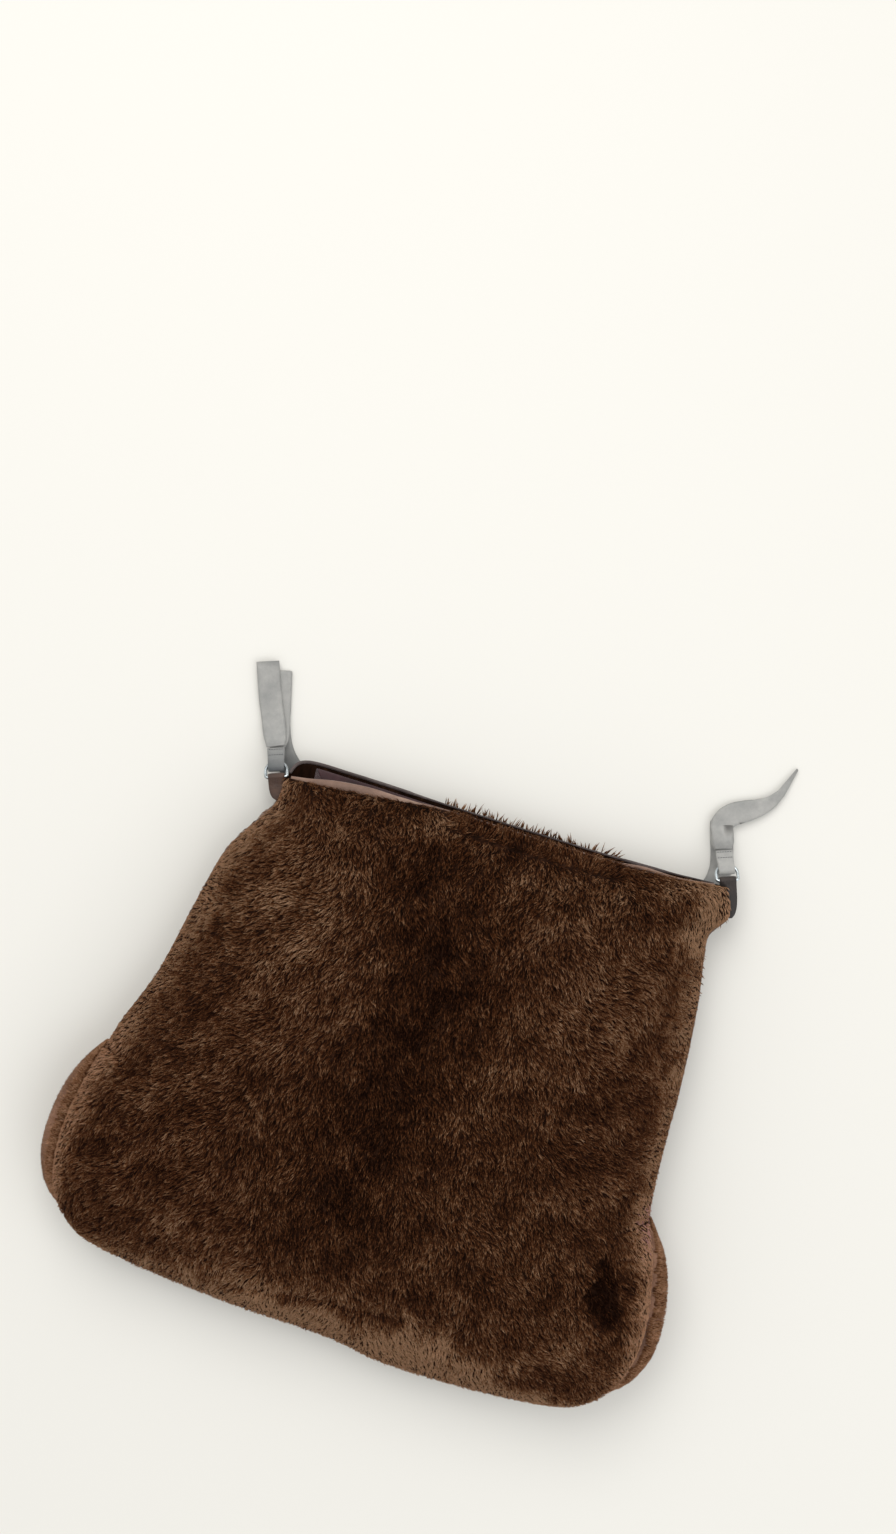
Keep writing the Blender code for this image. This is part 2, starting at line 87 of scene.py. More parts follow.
WADDING_LOW, WADDING_HIGH = (0.075, 0.085), (0.925, 0.850)  # fractions of the width and of the height
PELT, LAYER_GAP = 0.0025, 0.0007
SATIN_THICK = 0.0007
CORNER_TURN, DROOP = math.radians(21), math.radians(30)  # how the tabs point, and how the rings hang at rest
SKIN = 0.0011  # the hide under the pile
LIFT = 0.0024  # room for the pile between the back's hide and the surface


def ease(t):
    t = np.clip(t, 0.0, 1.0)
    return t * t * (3 - 2 * t)


def route_at(points, t):
    """Points at the fractions t of a smooth curve through these points."""
    places = np.asarray(points, float)
    reach = np.concatenate([[0.0], np.cumsum(np.linalg.norm(np.diff(places, axis=0), axis=1))])
    wanted = np.asarray(t, float) * reach[-1]
    i = np.clip(np.searchsorted(reach, wanted, side="right") - 1, 0, len(places) - 2)
    s = ((wanted - reach[i]) / (reach[i + 1] - reach[i]))[..., None]
    longer = np.vstack([2 * places[0] - places[1], places, 2 * places[-1] - places[-2]])
    before, a, b, after = longer[i], longer[i + 1], longer[i + 2], longer[i + 3]
    bend = 2 * before - 5 * a + 4 * b - after
    twist = 3 * a - before - 3 * b + after
    return 0.5 * (2 * a + s * (b - before) + s * s * bend + s**3 * twist)


def plan(u, v, top_edge):
    """x and y at the fractions u of the width and v of the height."""
    u, v = u[..., None], v[..., None]
    left, right = route_at(LEFT_EDGE, v[..., 0]), route_at(RIGHT_EDGE, v[..., 0])
    bottom, top = route_at(BOTTOM_EDGE, u[..., 0]), route_at(top_edge, u[..., 0])
    corners = (
        (1 - u) * (1 - v) * np.array(LEFT_EDGE[0])
        + u * (1 - v) * np.array(RIGHT_EDGE[0])
        + (1 - u) * v * np.array(LEFT_EDGE[-1])
        + u * v * np.array(RIGHT_EDGE[-1])
    )
    return (1 - u) * left + u * right + (1 - v) * bottom + v * top - corners - CENTRE


def middle_height(v):
    return SEAM_HEIGHT + (MOUTH_HEIGHT - SEAM_HEIGHT) * ease((v - 0.45) / 0.55)


def opening_half(v):
    inside = np.clip(v / OPENING_TOP, 0.0, 1.0)
    return np.maximum(SEAM_HALF, OPENING_HALF * np.sqrt(np.abs(np.sin(np.pi * inside))) * (v < OPENING_TOP))


def mouth_half(u):
    gape = sum(more * np.exp(-(((u - at) / wide) ** 2)) for at, wide, more in MOUTH_GAPES)
    return SEAM_HALF + (MOUTH_CLOSED_HALF - SEAM_HALF + gape) * ease(np.minimum(u, 1 - u) / 0.07)


def edge_half(u, v):
    """Half the thickness that the four edges alone would give; the seams themselves are drawn shut."""
    side = np.minimum(u, 1 - u)
    from_opening = (opening_half(v) - SEAM_HALF) * (1 - ease(side / 0.30))
    from_mouth = (mouth_half(u) - SEAM_HALF) * v * v
    shut = 1 - ease(np.minimum(np.maximum(side, ease((v - 0.93) / 0.07)), np.maximum(v, 0)) / 0.035)
    open_here = ease((opening_half(v) - SEAM_HALF) / 0.003)
    return SEAM_HALF - (SEAM_HALF - SEAM_CLOSED) * shut * (1 - open_here) + from_opening + from_mouth


def swell(u, v, across, upright):
    flat = (1 - np.abs(2 * u - 1) ** across) * (1 - np.abs(2 * v - 1) ** upright)
    return np.clip(flat, 0.0, 1.0) ** 0.55


WAVES = CHANCE.normal(size=(5, 9, 2))
WAVE_STARTS = CHANCE.uniform(0, 2 * np.pi, size=(5, 9))


def waves(x, y, length, layer=0):
    """Smooth seeded noise from about -1 to 1, its bumps this far apart in metres."""
    total = np.zeros_like(x)
    for (a, b), start in zip(WAVES[layer], WAVE_STARTS[layer]):
        bend = 1.3 * np.sin((b * x - a * y) * 2.1 / length)
        total += np.sin((a * x + b * y) * (4.2 / length) + start + bend)
    return total / 3.4


def from_line(x, y, line):
    """Distance from a line through these points."""
    best = np.full(np.shape(x), 1.0)
    for (ax, ay), (bx, by) in zip(line, line[1:]):
        dx, dy = bx - ax, by - ay
        t = np.clip(((x - ax) * dx + (y - ay) * dy) / (dx * dx + dy * dy), 0, 1)
        best = np.minimum(best, np.hypot(x - ax - t * dx, y - ay - t * dy))
    return best


def near_line(x, y, line, wide):
    return np.exp(-((from_line(x, y, line) / wide) ** 2))


def near_point(x, y, at, wide):
    return np.exp(-((np.hypot(x - at[0], y - at[1]) / wide) ** 2))


VALLEY = ((-0.030, 0.102), (0.001, 0.062), (-0.003, -0.046), (-0.010, -0.086))
CREASE = ((-0.062, -0.158), (-0.020, -0.151), (0.012, -0.147), (0.042, -0.144))
ROLL = ((-0.080, -0.160), (-0.020, -0.160), (0.030, -0.159), (0.100, -0.164))
HOLLOW = (0.151, -0.094)


def from_hollow(x, y):
    """Distance from the middle of the sunken place, over its own uneven half width."""
    across = x - HOLLOW[0] + 0.35 * (y - HOLLOW[1])
    return np.hypot(across * 1.15, (y - HOLLOW[1]) * 0.85) / (0.0135 * (1 + 0.28 * waves(x, y, 0.012, 2)))


def lie_of_front(x, y):
    """How the soft front rises and sinks from its plain dome."""
    valley = -0.0065 * near_line(x, y, VALLEY, 0.020)
    crease = -0.0022 * near_line(x, y, CREASE, 0.0032)
    roll = 0.0030 * near_line(x, y, ROLL, 0.010)
    hollow = -0.0100 * np.exp(-(from_hollow(x, y) ** 2))
    lobes = 0.0035 * near_point(x, y, (0.100, 0.070), 0.055)
    lobes += 0.0030 * near_point(x, y, (-0.085, 0.020), 0.060)
    dents = valley + crease + roll + hollow + lobes
    return dents + 0.0016 * waves(x, y, 0.050) + 0.0006 * waves(x, y, 0.018, 1)


SETTLED = {}


def settling(name, u, v):
    """How far the cloth run moved a pelt at these places, or nothing before that run."""
    if name not in SETTLED:
        return 0.0
    moved = SETTLED[name]
    rows, columns = moved.shape[:2]
    i, j = u * (columns - 1), v * (rows - 1)
    i0 = np.clip(np.floor(i).astype(int), 0, columns - 2)
    j0 = np.clip(np.floor(j).astype(int), 0, rows - 2)
    s, t = (i - i0)[..., None], (j - j0)[..., None]
    near = moved[j0, i0] * (1 - s) + moved[j0, i0 + 1] * s
    far = moved[j0 + 1, i0] * (1 - s) + moved[j0 + 1, i0 + 1] * s
    return near * (1 - t) + far * t


def front_at(u, v, depth=0.0):
    xy = plan(u, v, FRONT_TOP_EDGE)
    dome = swell(u, v, 3.6, 3.2)
    z = middle_height(v) + edge_half(u, v) + FRONT_DOME * dome
    z = z + lie_of_front(xy[..., 0], xy[..., 1]) * ease(dome * 1.6) - depth
    return np.concatenate([xy, z[..., None]], axis=-1) + settling("front", u, v)


def back_at(u, v, depth=0.0):
    xy = plan(u, v, BACK_TOP_EDGE)
    raised = 1 - 0.85 * ease((v - 0.70) / 0.20)
    z = middle_height(v) - edge_half(u, v) - BACK_DOME * raised * swell(u, v, 5.0, 4.2)
    z = LIFT + np.maximum(z - LIFT, 0.0) + depth
    return np.concatenate([xy, z[..., None]], axis=-1)


def slopes(surface, u, v):
    """Position, the two edge directions and the outward normal of a surface of the front."""
    step = 0.002
    here = surface(u, v)
    along_u = surface(np.minimum(u + step, 1), v) - surface(np.maximum(u - step, 0), v)
    along_v = surface(u, np.minimum(v + step, 1)) - surface(u, np.maximum(v - step, 0))
    normal = np.cross(along_u, along_v)
    return here, along_u, along_v, normal / np.maximum(np.linalg.norm(normal, axis=-1, keepdims=True), 1e-12)


# -------------------- materials


def linear(red, green, blue):
    """Scene colour of a display colour given from 0 to 255."""
    shares = np.array((red, green, blue)) / 255
    return (*np.where(shares <= 0.04045, shares / 12.92, ((shares + 0.055) / 1.055) ** 2.4), 1.0)


class Look:
    """A material built node by node around one Principled shader."""

    def __init__(self, name, colour, roughness, metallic=0.0, **sockets):
        self.material = bpy.data.materials.new(name)
        self.material.use_nodes = True
        self.tree = self.material.node_tree
        self.shader = self.tree.nodes["Principled BSDF"]
        self.shader.inputs["Base Color"].default_value = colour
        self.shader.inputs["Roughness"].default_value = roughness
        self.shader.inputs["Metallic"].default_value = metallic
        for socket, value in sockets.items():
            self.shader.inputs[socket.replace("_", " ")].default_value = value

    def node(self, kind, **values):
        made = self.tree.nodes.new(kind)
        for key, value in values.items():
            if key in made.inputs:
                made.inputs[key].default_value = value
            else:
                setattr(made, key, value)
        return made

    def link(self, source, output, target, socket):
        self.tree.links.new(source.outputs[output], target.inputs[socket])

    def place(self, stretch=(1, 1, 1), turn=0.0):
        at = self.node("ShaderNodeTexCoord")
        spread = self.node("ShaderNodeMapping")
        spread.inputs["Scale"].default_value = stretch
        spread.inputs["Rotation"].default_value = (0, 0, turn)
        self.link(at, "Object", spread, "Vector")
        return spread

    def noise(self, scale, detail=4.0, rough=0.6, stretch=(1, 1, 1)):
        made = self.node("ShaderNodeTexNoise", Scale=scale, Detail=detail, Roughness=rough)
        self.link(self.place(stretch), "Vector", made, "Vector")
        return made

    def wave(self, scale, distortion, direction="X", turn=0.0):
        made = self.node("ShaderNodeTexWave", Scale=scale, Distortion=distortion, Detail=2.0)
        made.bands_direction = direction
        self.link(self.place(turn=turn), "Vector", made, "Vector")
        return made

    def ramp(self, source, stops):
        """Colours along the source's factor, from pairs of a place and a display colour."""
        made = self.node("ShaderNodeValToRGB")
        bar = made.color_ramp.elements
        while len(bar) < len(stops):
            bar.new(0.5)
        for element, (at, colour) in zip(bar, stops):
            element.position = at
            element.color = linear(*colour)
        self.link(source, "Fac", made, "Fac")
        return made

    def colour_from(self, source):
        self.link(source, "Color", self.shader, "Base Color")

    def rough_between(self, source, low, high):
        spread = self.node("ShaderNodeMapRange")
        spread.inputs["To Min"].default_value = low
        spread.inputs["To Max"].default_value = high
        self.link(source, "Fac", spread, "Value")
        self.link(spread, "Result", self.shader, "Roughness")

    def raised_by(self, source, distance, under=None, output="Fac"):
        made = self.node("ShaderNodeBump", Strength=1.0, Distance=distance)
        self.link(source, output, made, "Height")
        if under:
            self.link(under, "Normal", made, "Normal")
        self.link(made, "Normal", self.shader, "Normal")
        return made


def hide_under_pile():
    look = Look("fur_hide", linear(34, 18, 10), 0.9, Specular_IOR_Level=0.05)
    streaks = look.noise(230, 5, 0.65, stretch=(1.0, 0.22, 1.0))
    stops = ((0.30, (16, 7, 3)), (0.52, (34, 18, 10)), (0.75, (66, 42, 28)))
    look.colour_from(look.ramp(streaks, stops))
    look.raised_by(streaks, 0.0008)
    return look.material


TONES = 9
BROWN_PILE, RIM_PILE, REFLECTED_ROSE_PILE = 0, 1, 2


def pile_tones():
    """The hairs' tones, darkest first. Roots take a darker one than tips, as painted shade deep in the pile."""
    brown = ((19, 5, 0), (84, 50, 28), (160, 126, 98))
    rim = ((48, 25, 13), (126, 88, 62), (178, 138, 110))
    # rose tones: painted reflection of the pink lining on the pile
    reflected_rose = ((84, 44, 38), (140, 96, 90), (176, 132, 124))
    made = []
    for name, (dark, middle, light) in (("pile", brown), ("rim_pile", rim), ("reflected_rose_pile", reflected_rose)):
        for k in range(TONES):
            share = 2 * k / (TONES - 1)
            low, high = (dark, middle) if share < 1 else (middle, light)
            tone = np.array(low) + (np.array(high) - np.array(low)) * (share - (share >= 1))
            look = Look(f"{name}_{k}", linear(*tone), 0.8, Specular_IOR_Level=0.04)
            made.append(look.material)
    return made


def satin():
    sockets = {"Sheen_Weight": 0.35, "Sheen_Roughness": 0.35, "Anisotropic": 0.4}
    look = Look("lining_satin", linear(62, 32, 35), 0.38, **sockets)
    warp = look.wave(900, 0.6)
    weft = look.wave(900, 0.6, "Y")
    shade = look.noise(45, 3)
    stops = ((0.25, (38, 18, 22)), (0.55, (62, 32, 36)), (0.85, (92, 56, 60)))
    look.colour_from(look.ramp(shade, stops))
    first = look.raised_by(warp, 0.00008)
    look.raised_by(weft, 0.00005, under=first)
    return look.material


def smooth_hide(name, dark, middle, light, roughness):
    look = Look(name, linear(*middle), roughness, Specular_IOR_Level=0.45, Sheen_Weight=0.15)
    blotches = look.noise(38, 6, 0.65)
    stops = ((0.28, dark), (0.50, middle), (0.74, light))
    look.colour_from(look.ramp(blotches, stops))
    grain = look.node("ShaderNodeTexVoronoi", Scale=900)
    look.link(look.place(), "Vector", grain, "Vector")
    first = look.raised_by(grain, 0.00022, output="Distance")
    look.raised_by(look.noise(160, 4), 0.0005, under=first)
    look.rough_between(blotches, roughness - 0.10, roughness + 0.15)
    return look.material


def ribbon_cloth():
    look = Look("strap_ribbon", linear(170, 170, 168), 0.70, Specular_IOR_Level=0.2, Sheen_Weight=0.10)
    warp = look.wave(560, 0.4, turn=-CORNER_TURN)
    weft = look.wave(700, 0.3, "Y", turn=-CORNER_TURN)
    worn = look.noise(60, 5, 0.7)
    stops = ((0.28, (164, 165, 164)), (0.52, (188, 188, 185)), (0.80, (212, 211, 207)))
    near = look.node("ShaderNodeSeparateXYZ")
    look.link(look.place(), "Vector", near, "Vector")
    fade = look.node("ShaderNodeMapRange")
    fade.inputs["From Min"].default_value = 0.140
    fade.inputs["From Max"].default_value = 0.160
    look.link(near, "Y", fade, "Value")
    mixed = look.node("ShaderNodeMix", data_type="RGBA")
    look.link(fade, "Result", mixed, "Factor")
    look.tree.links.new(look.ramp(worn, stops).outputs["Color"], mixed.inputs[7])
    mixed.inputs[6].default_value = linear(100, 104, 107)
    look.tree.links.new(mixed.outputs[2], look.shader.inputs["Base Color"])
    first = look.raised_by(weft, 0.00025)
    second = look.raised_by(warp, 0.00012, under=first)
    look.raised_by(worn, 0.0004, under=second)
    look.rough_between(worn, 0.50, 0.75)
    return look.material


def polished_metal(name, tone):
    look = Look(name, linear(*tone), 0.20, 1.0)
    marks = look.noise(420, 6, 0.7, stretch=(1, 0.15, 1))
    tarnish = look.noise(120, 4, 0.6)
    stops = ((0.30, 0.55 * np.array(tone)), (0.60, tone))
    look.colour_from(look.ramp(tarnish, stops))
    look.rough_between(marks, 0.12, 0.38)
    look.raised_by(marks, 0.00003)
    return look.material


def fibre_fill():
    look = Look("wadding_fill", linear(222, 216, 202), 0.95, Sheen_Weight=0.4)
    tangle = look.noise(300, 8, 0.75)
    look.colour_from(look.ramp(tangle, ((0.35, (196, 188, 172)), (0.65, (236, 232, 222)))))
    look.raised_by(tangle, 0.0012)
    return look.material


def thread(name, tone):
    look = Look(name, linear(*tone), 0.6, Sheen_Weight=0.3)
    twist = look.wave(1500, 0.3, "DIAGONAL")
    dark = 0.7 * np.array(tone)
    look.colour_from(look.ramp(twist, ((0.2, dark), (0.8, tone))))
    look.raised_by(twist, 0.0001)
    return look.material


HIDE_UNDER = hide_under_pile()
PILE = pile_tones()
SATIN = satin()
TAN_HIDE = smooth_hide("tan_hide", (96, 72, 60), (130, 102, 87), (160, 134, 118), 0.60)
DARK_HIDE = smooth_hide("dark_hide", (40, 30, 28), (66, 54, 52), (104, 94, 92), 0.50)
CUFF_HIDE = smooth_hide("cuff_hide", (78, 50, 36), (112, 76, 55), (142, 104, 80), 0.60)
BLACK_LEATHER = smooth_hide("black_leather", (16, 11, 10), (30, 22, 20), (58, 46, 40), 0.50)
BROWN_LEATHER = smooth_hide("brown_leather", (40, 24, 16), (62, 40, 29), (92, 64, 48), 0.55)
RIBBON = ribbon_cloth()
STEEL = polished_metal("ring_steel", (205, 214, 218))
STUD_METAL = polished_metal("stud_brass", (150, 146, 138))
FILL = fibre_fill()
GREY_THREAD = thread("grey_thread", (96, 98, 102))


# -------------------- mesh builders


def piece(name, points, faces, looks, body="muff", face_looks=None):
    """A mesh piece from arrays, riding on its body. faces are all triangles or all quads."""
    data = bpy.data.meshes.new(name)
    faces = np.ascontiguousarray(faces, np.int32)
    count, sides = faces.shape
    data.vertices.add(len(points))
    data.vertices.foreach_set("co", np.ascontiguousarray(points, np.float32).ravel())
    data.loops.add(count * sides)
    data.loops.foreach_set("vertex_index", faces.ravel())
    data.polygons.add(count)
    data.polygons.foreach_set("loop_start", np.arange(0, count * sides, sides, dtype=np.int32))
    data.polygons.foreach_set("use_smooth", np.full(count, True))
    for look in looks:
        data.materials.append(look)
    if face_looks is not None:
        data.polygons.foreach_set("material_index", np.ascontiguousarray(face_looks, np.int32))
    data.update(calc_edges=True)
    obj = bpy.data.objects.new(name, data)
    bpy.context.scene.collection.objects.link(obj)
    if body:
        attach(obj, body)
    return obj


def grid_faces(columns, rows, wrap=False, start=0, flip=False):
    """Quads of a grid with this many points each way; wrap joins its last column to its first."""
    i, j = np.meshgrid(np.arange(columns if wrap else columns - 1), np.arange(rows - 1))
    a = j * columns + i
    b = j * columns + (i + 1) % columns
    quads = np.stack([a, b, b + columns, a + columns], axis=-1).reshape(-1, 4) + start
    return quads[:, ::-1] if flip else quads


def slab(name, outside, inside, look, body="muff", wrap=False):
    """A closed sheet between two grids of points, or a closed sleeve where the columns wrap."""
    rows, columns = outside.shape[:2]
    count = rows * columns
    points = np.concatenate([outside.reshape(-1, 3), inside.reshape(-1, 3)])
    faces = [grid_faces(columns, rows, wrap), grid_faces(columns, rows, wrap, count, flip=True)]
    bottom, top = np.arange(columns), np.arange(columns) + (rows - 1) * columns
    rims = [(bottom, True), (top, False)]
    if not wrap:
        left, right = np.arange(rows) * columns, np.arange(rows) * columns + columns - 1
        rims += [(left, False), (right, True)]
    for rim, turned in rims:
        after = np.roll(rim, -1) if wrap else rim[1:]
        before = rim if wrap else rim[:-1]
        strip = np.stack([before, after, after + count, before + count], axis=-1)
        faces.append(strip[:, ::-1] if turned else strip)
    return piece(name, points, np.concatenate(faces), [look], body)


def round_angles(count):
    return np.linspace(0, 2 * np.pi, count, endpoint=False)


def uv_grid(columns, rows, low=(0, 0), high=(1, 1)):
    return np.meshgrid(np.linspace(low[0], high[0], columns), np.linspace(low[1], high[1], rows))


def tube(name, centre, radius, look, body="muff", sides=10, cyclic=False, squash=(1.0, 1.0)):
    """A round or oval cord along the points of centre; radius is one value or one for each point."""
    centre = np.asarray(centre, float)
    count = len(centre)
    radius = np.broadcast_to(np.asarray(radius, float), (count,))
    if cyclic:
        ahead = np.roll(centre, -1, axis=0) - np.roll(centre, 1, axis=0)
    else:
        ahead = np.gradient(centre, axis=0)
    ahead /= np.linalg.norm(ahead, axis=1, keepdims=True)
    side = np.cross(ahead, (0.0, 0.0, 1.0))
    side /= np.maximum(np.linalg.norm(side, axis=1, keepdims=True), 1e-9)
    up = np.cross(side, ahead)
    angles = round_angles(sides)
    ring = (
        squash[0] * np.cos(angles)[None, :, None] * side[:, None, :]
        + squash[1] * np.sin(angles)[None, :, None] * up[:, None, :]
    )
    points = (centre[:, None, :] + ring * radius[:, None, None]).reshape(-1, 3)
    faces = grid_faces(sides, count, wrap=True)
    if cyclic:
        last = (count - 1) * sides + np.arange(sides)
        first = np.arange(sides)
        join = np.stack([last, np.roll(last, -1), np.roll(first, -1), first], axis=-1)
        return piece(name, points, np.concatenate([faces, join]), [look], body)
    points = np.concatenate([points, centre[:1], centre[-1:]])
    a, b = len(points) - 2, len(points) - 1
    around = np.arange(sides)
    start = np.stack([np.full(sides, a), np.roll(around, -1), around], axis=-1)
    end = np.stack([around, np.roll(around, -1)], axis=-1) + (count - 1) * sides
    end = np.concatenate([end, np.full((sides, 1), b)], axis=1)
    return piece_from_polygons(name, points, faces, np.concatenate([start, end]), look, body)


def shown_as(node):
    """Hides the CAD node that a piece replaces."""
    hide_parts(node)


def piece_from_polygons(name, points, quads, triangles, look, body):
    data = bpy.data.meshes.new(name)
    data.from_pydata(points.tolist(), [], quads.tolist() + triangles.tolist())
    data.materials.append(look)
    data.shade_smooth()
    obj = bpy.data.objects.new(name, data)
    bpy.context.scene.collection.objects.link(obj)
    bm = bmesh.new()
    bm.from_mesh(data)
    bmesh.ops.recalc_face_normals(bm, faces=bm.faces)
    bm.to_mesh(data)
    bm.free()
    if body:
        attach(obj, body)
    return obj


def strap_line(knots):
    """The smooth middle line through the strap's knots, a point about every 1.2 mm."""
    return route_at(knots, np.linspace(0, 1, max(int(length_of(knots) / 0.0012), len(knots) * 3)))


def ribbon(name, line, body):
    """A flat woven strap along a line of x, y, z, roll in degrees and share of the width."""
    centre, roll, share = line[:, :3], np.radians(line[:, 3]), np.maximum(line[:, 4], 0.05)
    ahead = np.gradient(centre, axis=0)
    ahead /= np.linalg.norm(ahead, axis=1, keepdims=True)
    sides = np.cross(ahead, (0.0, 0.0, 1.0))
    weak = np.linalg.norm(sides, axis=1) < 0.15
    for k in range(1, len(sides)):
        if weak[k]:
            sides[k] = sides[k - 1]
        if sides[k] @ sides[k - 1] < 0:
            sides[k] *= -1
    sides /= np.linalg.norm(sides, axis=1, keepdims=True)
    up = np.cross(sides, ahead)
    turned = np.cos(roll)[:, None] * sides + np.sin(roll)[:, None] * up
    raised = np.cross(turned, ahead)
    across = np.linspace(-1, 1, 9)
    rounding = np.sqrt(np.clip(1 - np.abs(across) ** 6, 0.10, 1))
    half = STRAP_WIDTH / 2 * share[:, None, None]
    middle = centre[:, None, :] + across[None, :, None] * half * turned[:, None, :]
    shell = raised[:, None, :] * (STRAP_THICK / 2 * rounding)[None, :, None]
    return slab(name, middle + shell, middle - shell, RIBBON, body)


# -------------------- camera, light and floor

TURNED = math.radians(17.5)
EYE_HEIGHT = 1.30
FLOOR_REACH = 15


def stage_and_light():
    scene = bpy.context.scene
    scene.view_settings.view_transform = "Standard"
    camera = bpy.data.objects.new("camera", bpy.data.cameras.new("camera"))
    scene.collection.objects.link(camera)
    camera.location = (-0.029, 0.174, EYE_HEIGHT)
    camera.rotation_euler = (0.0, 0.0, TURNED)
    camera.data.lens = 36 * (EYE_HEIGHT - 0.03) / 0.920
    scene.camera = camera
    floor_look = Look("floor_paper", linear(225, 224, 219), 0.9, Specular_IOR_Level=0.0)
    corners = [(-1, -1, 0), (1, -1, 0), (1, 1, 0), (-1, 1, 0)]
    corners = np.array(corners) * float(FLOOR_REACH)
    floor = piece("floor", corners, [[0, 1, 2, 3]], [floor_look.material], body=None)
    for name, at, size, power, tint in (
        ("key", (-0.55, 0.95, 1.55), 1.3, 16, (1.0, 0.98, 0.95)),
        ("fill", (0.9, -0.3, 1.5), 1.6, 9, (0.97, 0.98, 1.0)),
    ):
        light = bpy.data.objects.new(name, bpy.data.lights.new(name, "AREA"))
        light.data.size = size
        light.data.energy = power
        light.data.color = tint
        light.location = at
        towards = Vector((0.0, 0.0, 0.02)) - light.location
        light.rotation_euler = towards.to_track_quat("-Z", "Y").to_euler()
        scene.collection.objects.link(light)
    world = bpy.data.worlds.new("studio")
    world.use_nodes = True
    world.node_tree.nodes["Background"].inputs["Color"].default_value = (1.0, 0.99, 0.97, 1.0)
    world.node_tree.nodes["Background"].inputs["Strength"].default_value = 0.75
    scene.world = world


# -------------------- pelts, wadding and pile


def settle(name, surface, most=0.0022, pressure=4.0):
    """Blows a pelt's cloth up between its sewn edges for 20 frames and keeps how far it moved, in metres."""
    columns, rows = 76, 70
    u, v = uv_grid(columns, rows)
    start = surface(u, v)
    cloth = piece(f"{name}_cloth", start.reshape(-1, 3), grid_faces(columns, rows), [HIDE_UNDER], body=None)
    edge = np.flatnonzero((np.minimum(u, 1 - u) < 0.001) | (np.minimum(v, 1 - v) < 0.001))
    cloth.vertex_groups.new(name="sewn").add(edge.tolist(), 1.0, "REPLACE")
    run = cloth.modifiers.new("cloth", "CLOTH")
    run.settings.vertex_group_mass = "sewn"
    run.settings.use_pressure = True
    run.settings.uniform_pressure_force = pressure
    run.settings.effector_weights.gravity = 0.0
    run.settings.shrink_min = -0.03
    run.settings.mass = 0.3
    run.settings.quality = 6
    run.point_cache.frame_start, run.point_cache.frame_end = 1, 20
    scene = bpy.context.scene
    for frame_number in range(1, 21):
        scene.frame_set(frame_number)
    moved = cloth.evaluated_get(bpy.context.evaluated_depsgraph_get()).data
    places = np.empty(len(moved.vertices) * 3, np.float32)
    moved.vertices.foreach_get("co", places)
    shift = places.reshape(rows, columns, 3) - start
    far = np.linalg.norm(shift, axis=-1, keepdims=True)
    SETTLED[name] = shift * np.minimum(1.0, most / np.maximum(far, 1e-9))
    bpy.data.objects.remove(cloth)
    scene.frame_set(1)


def pelts():
    u, v = uv_grid(150, 150)
    front = slab("pelt_front", front_at(u, v), front_at(u, v, SKIN), HIDE_UNDER)
    shown_as("fur_front")
    back = slab("pelt_back", back_at(u, v, SKIN), back_at(u, v), HIDE_UNDER)
    shown_as("fur_back")
    for name, surface, side, above in (("wadding_front", front_at, 1, 0), ("wadding_back", back_at, -1, 1)):
        u, v = uv_grid(60, 60, WADDING_LOW, WADDING_HIGH)
        outer = surface(u, v, 0.0048)
        space = TUNNEL_SPACE * (1 - ease((v - 0.34) / 0.10)) + POCKET_SPACE * ease((v - 0.36) / 0.10)
        quilt = 0.0009 * np.cos(u * 60) * np.cos(v * 60)
        inner = outer.copy()
        reach = side * (outer[..., 2] - middle_height(v))
        inner[..., 2] = middle_height(v) + side * np.minimum(space + quilt, reach - 0.0015)
        pair = (outer, inner) if side > 0 else (inner, outer)
        fill = slab(f"{name}_fill", *pair, FILL)
        shown_as(name)


def seam_welts():
    """The hide welt that closes the seam between the two pelts, round the bottom and up both sides."""
    along = np.linspace(0, 1, 200)
    low, high = OPENING_TOP + 0.004, 0.975
    for name, u, v in (
        ("bottom_welt", 0.012 + 0.976 * along, 0 * along),
        ("left_welt", 0 * along, low + (high - low) * along),
        ("right_welt", 0 * along + 1, low + (high - low) * along),
    ):
        xy = plan(u, v, FRONT_TOP_EDGE)
        inward = unit(plan(0.5 + (u - 0.5) * 0.98, 0.5 + (v - 0.5) * 0.98, FRONT_TOP_EDGE) - xy)
        z = middle_height(v) + 0.0002 * np.sin(along * 150)
        line = np.concatenate([xy + inward * 0.0014, z[:, None]], axis=1)
        radius = 0.0018 * (0.35 + 0.65 * ease(np.minimum(along, 1 - along) / 0.03))
        welt = tube(name, line, radius, BROWN_LEATHER)


def scattered(surface, count):
    """Seeded places spread evenly over the surface's own area."""
    u = CHANCE.uniform(0, 1, count * 3)
    v = CHANCE.uniform(0, 1, count * 3)
    _, along_u, along_v, _ = slopes(surface, u, v)
    area = np.linalg.norm(np.cross(along_u, along_v), axis=1)
    chosen = CHANCE.uniform(0, 1, len(u)) < area / np.quantile(area, 0.97)
    return u[chosen][:count], v[chosen][:count]


def unit(vectors):
    return vectors / np.maximum(np.linalg.norm(vectors, axis=-1, keepdims=True), 1e-12)


def combed(u, v, x, y):
    """The way the pile lies, as an angle from +X. In the middle of the mouth it points over the edge."""
    across = 2 * u - 1
    out = 1.25 * np.sign(across) * np.abs(across) ** 1.5 * (1 - 0.75 * ease((v - 0.80) / 0.15)) + 0.12
    down = -0.55 - 0.45 * (1 - v) ** 2 - 0.5 * ease((v - 0.75) / 0.2)
    over_mouth = ease((v - 0.966) / 0.016) * ease((u - 0.28) / 0.16) * (1 - 0.8 * ease((u - 0.72) / 0.06))
    out, down = out * (1 - 0.8 * over_mouth), down * (1 - over_mouth) + 0.9 * over_mouth
    angle = np.arctan2(down, out)
    return angle + 0.34 * waves(x, y, 0.050, 2) + 0.22 * waves(x, y, 0.014, 3)


CLUMP = 0.0021


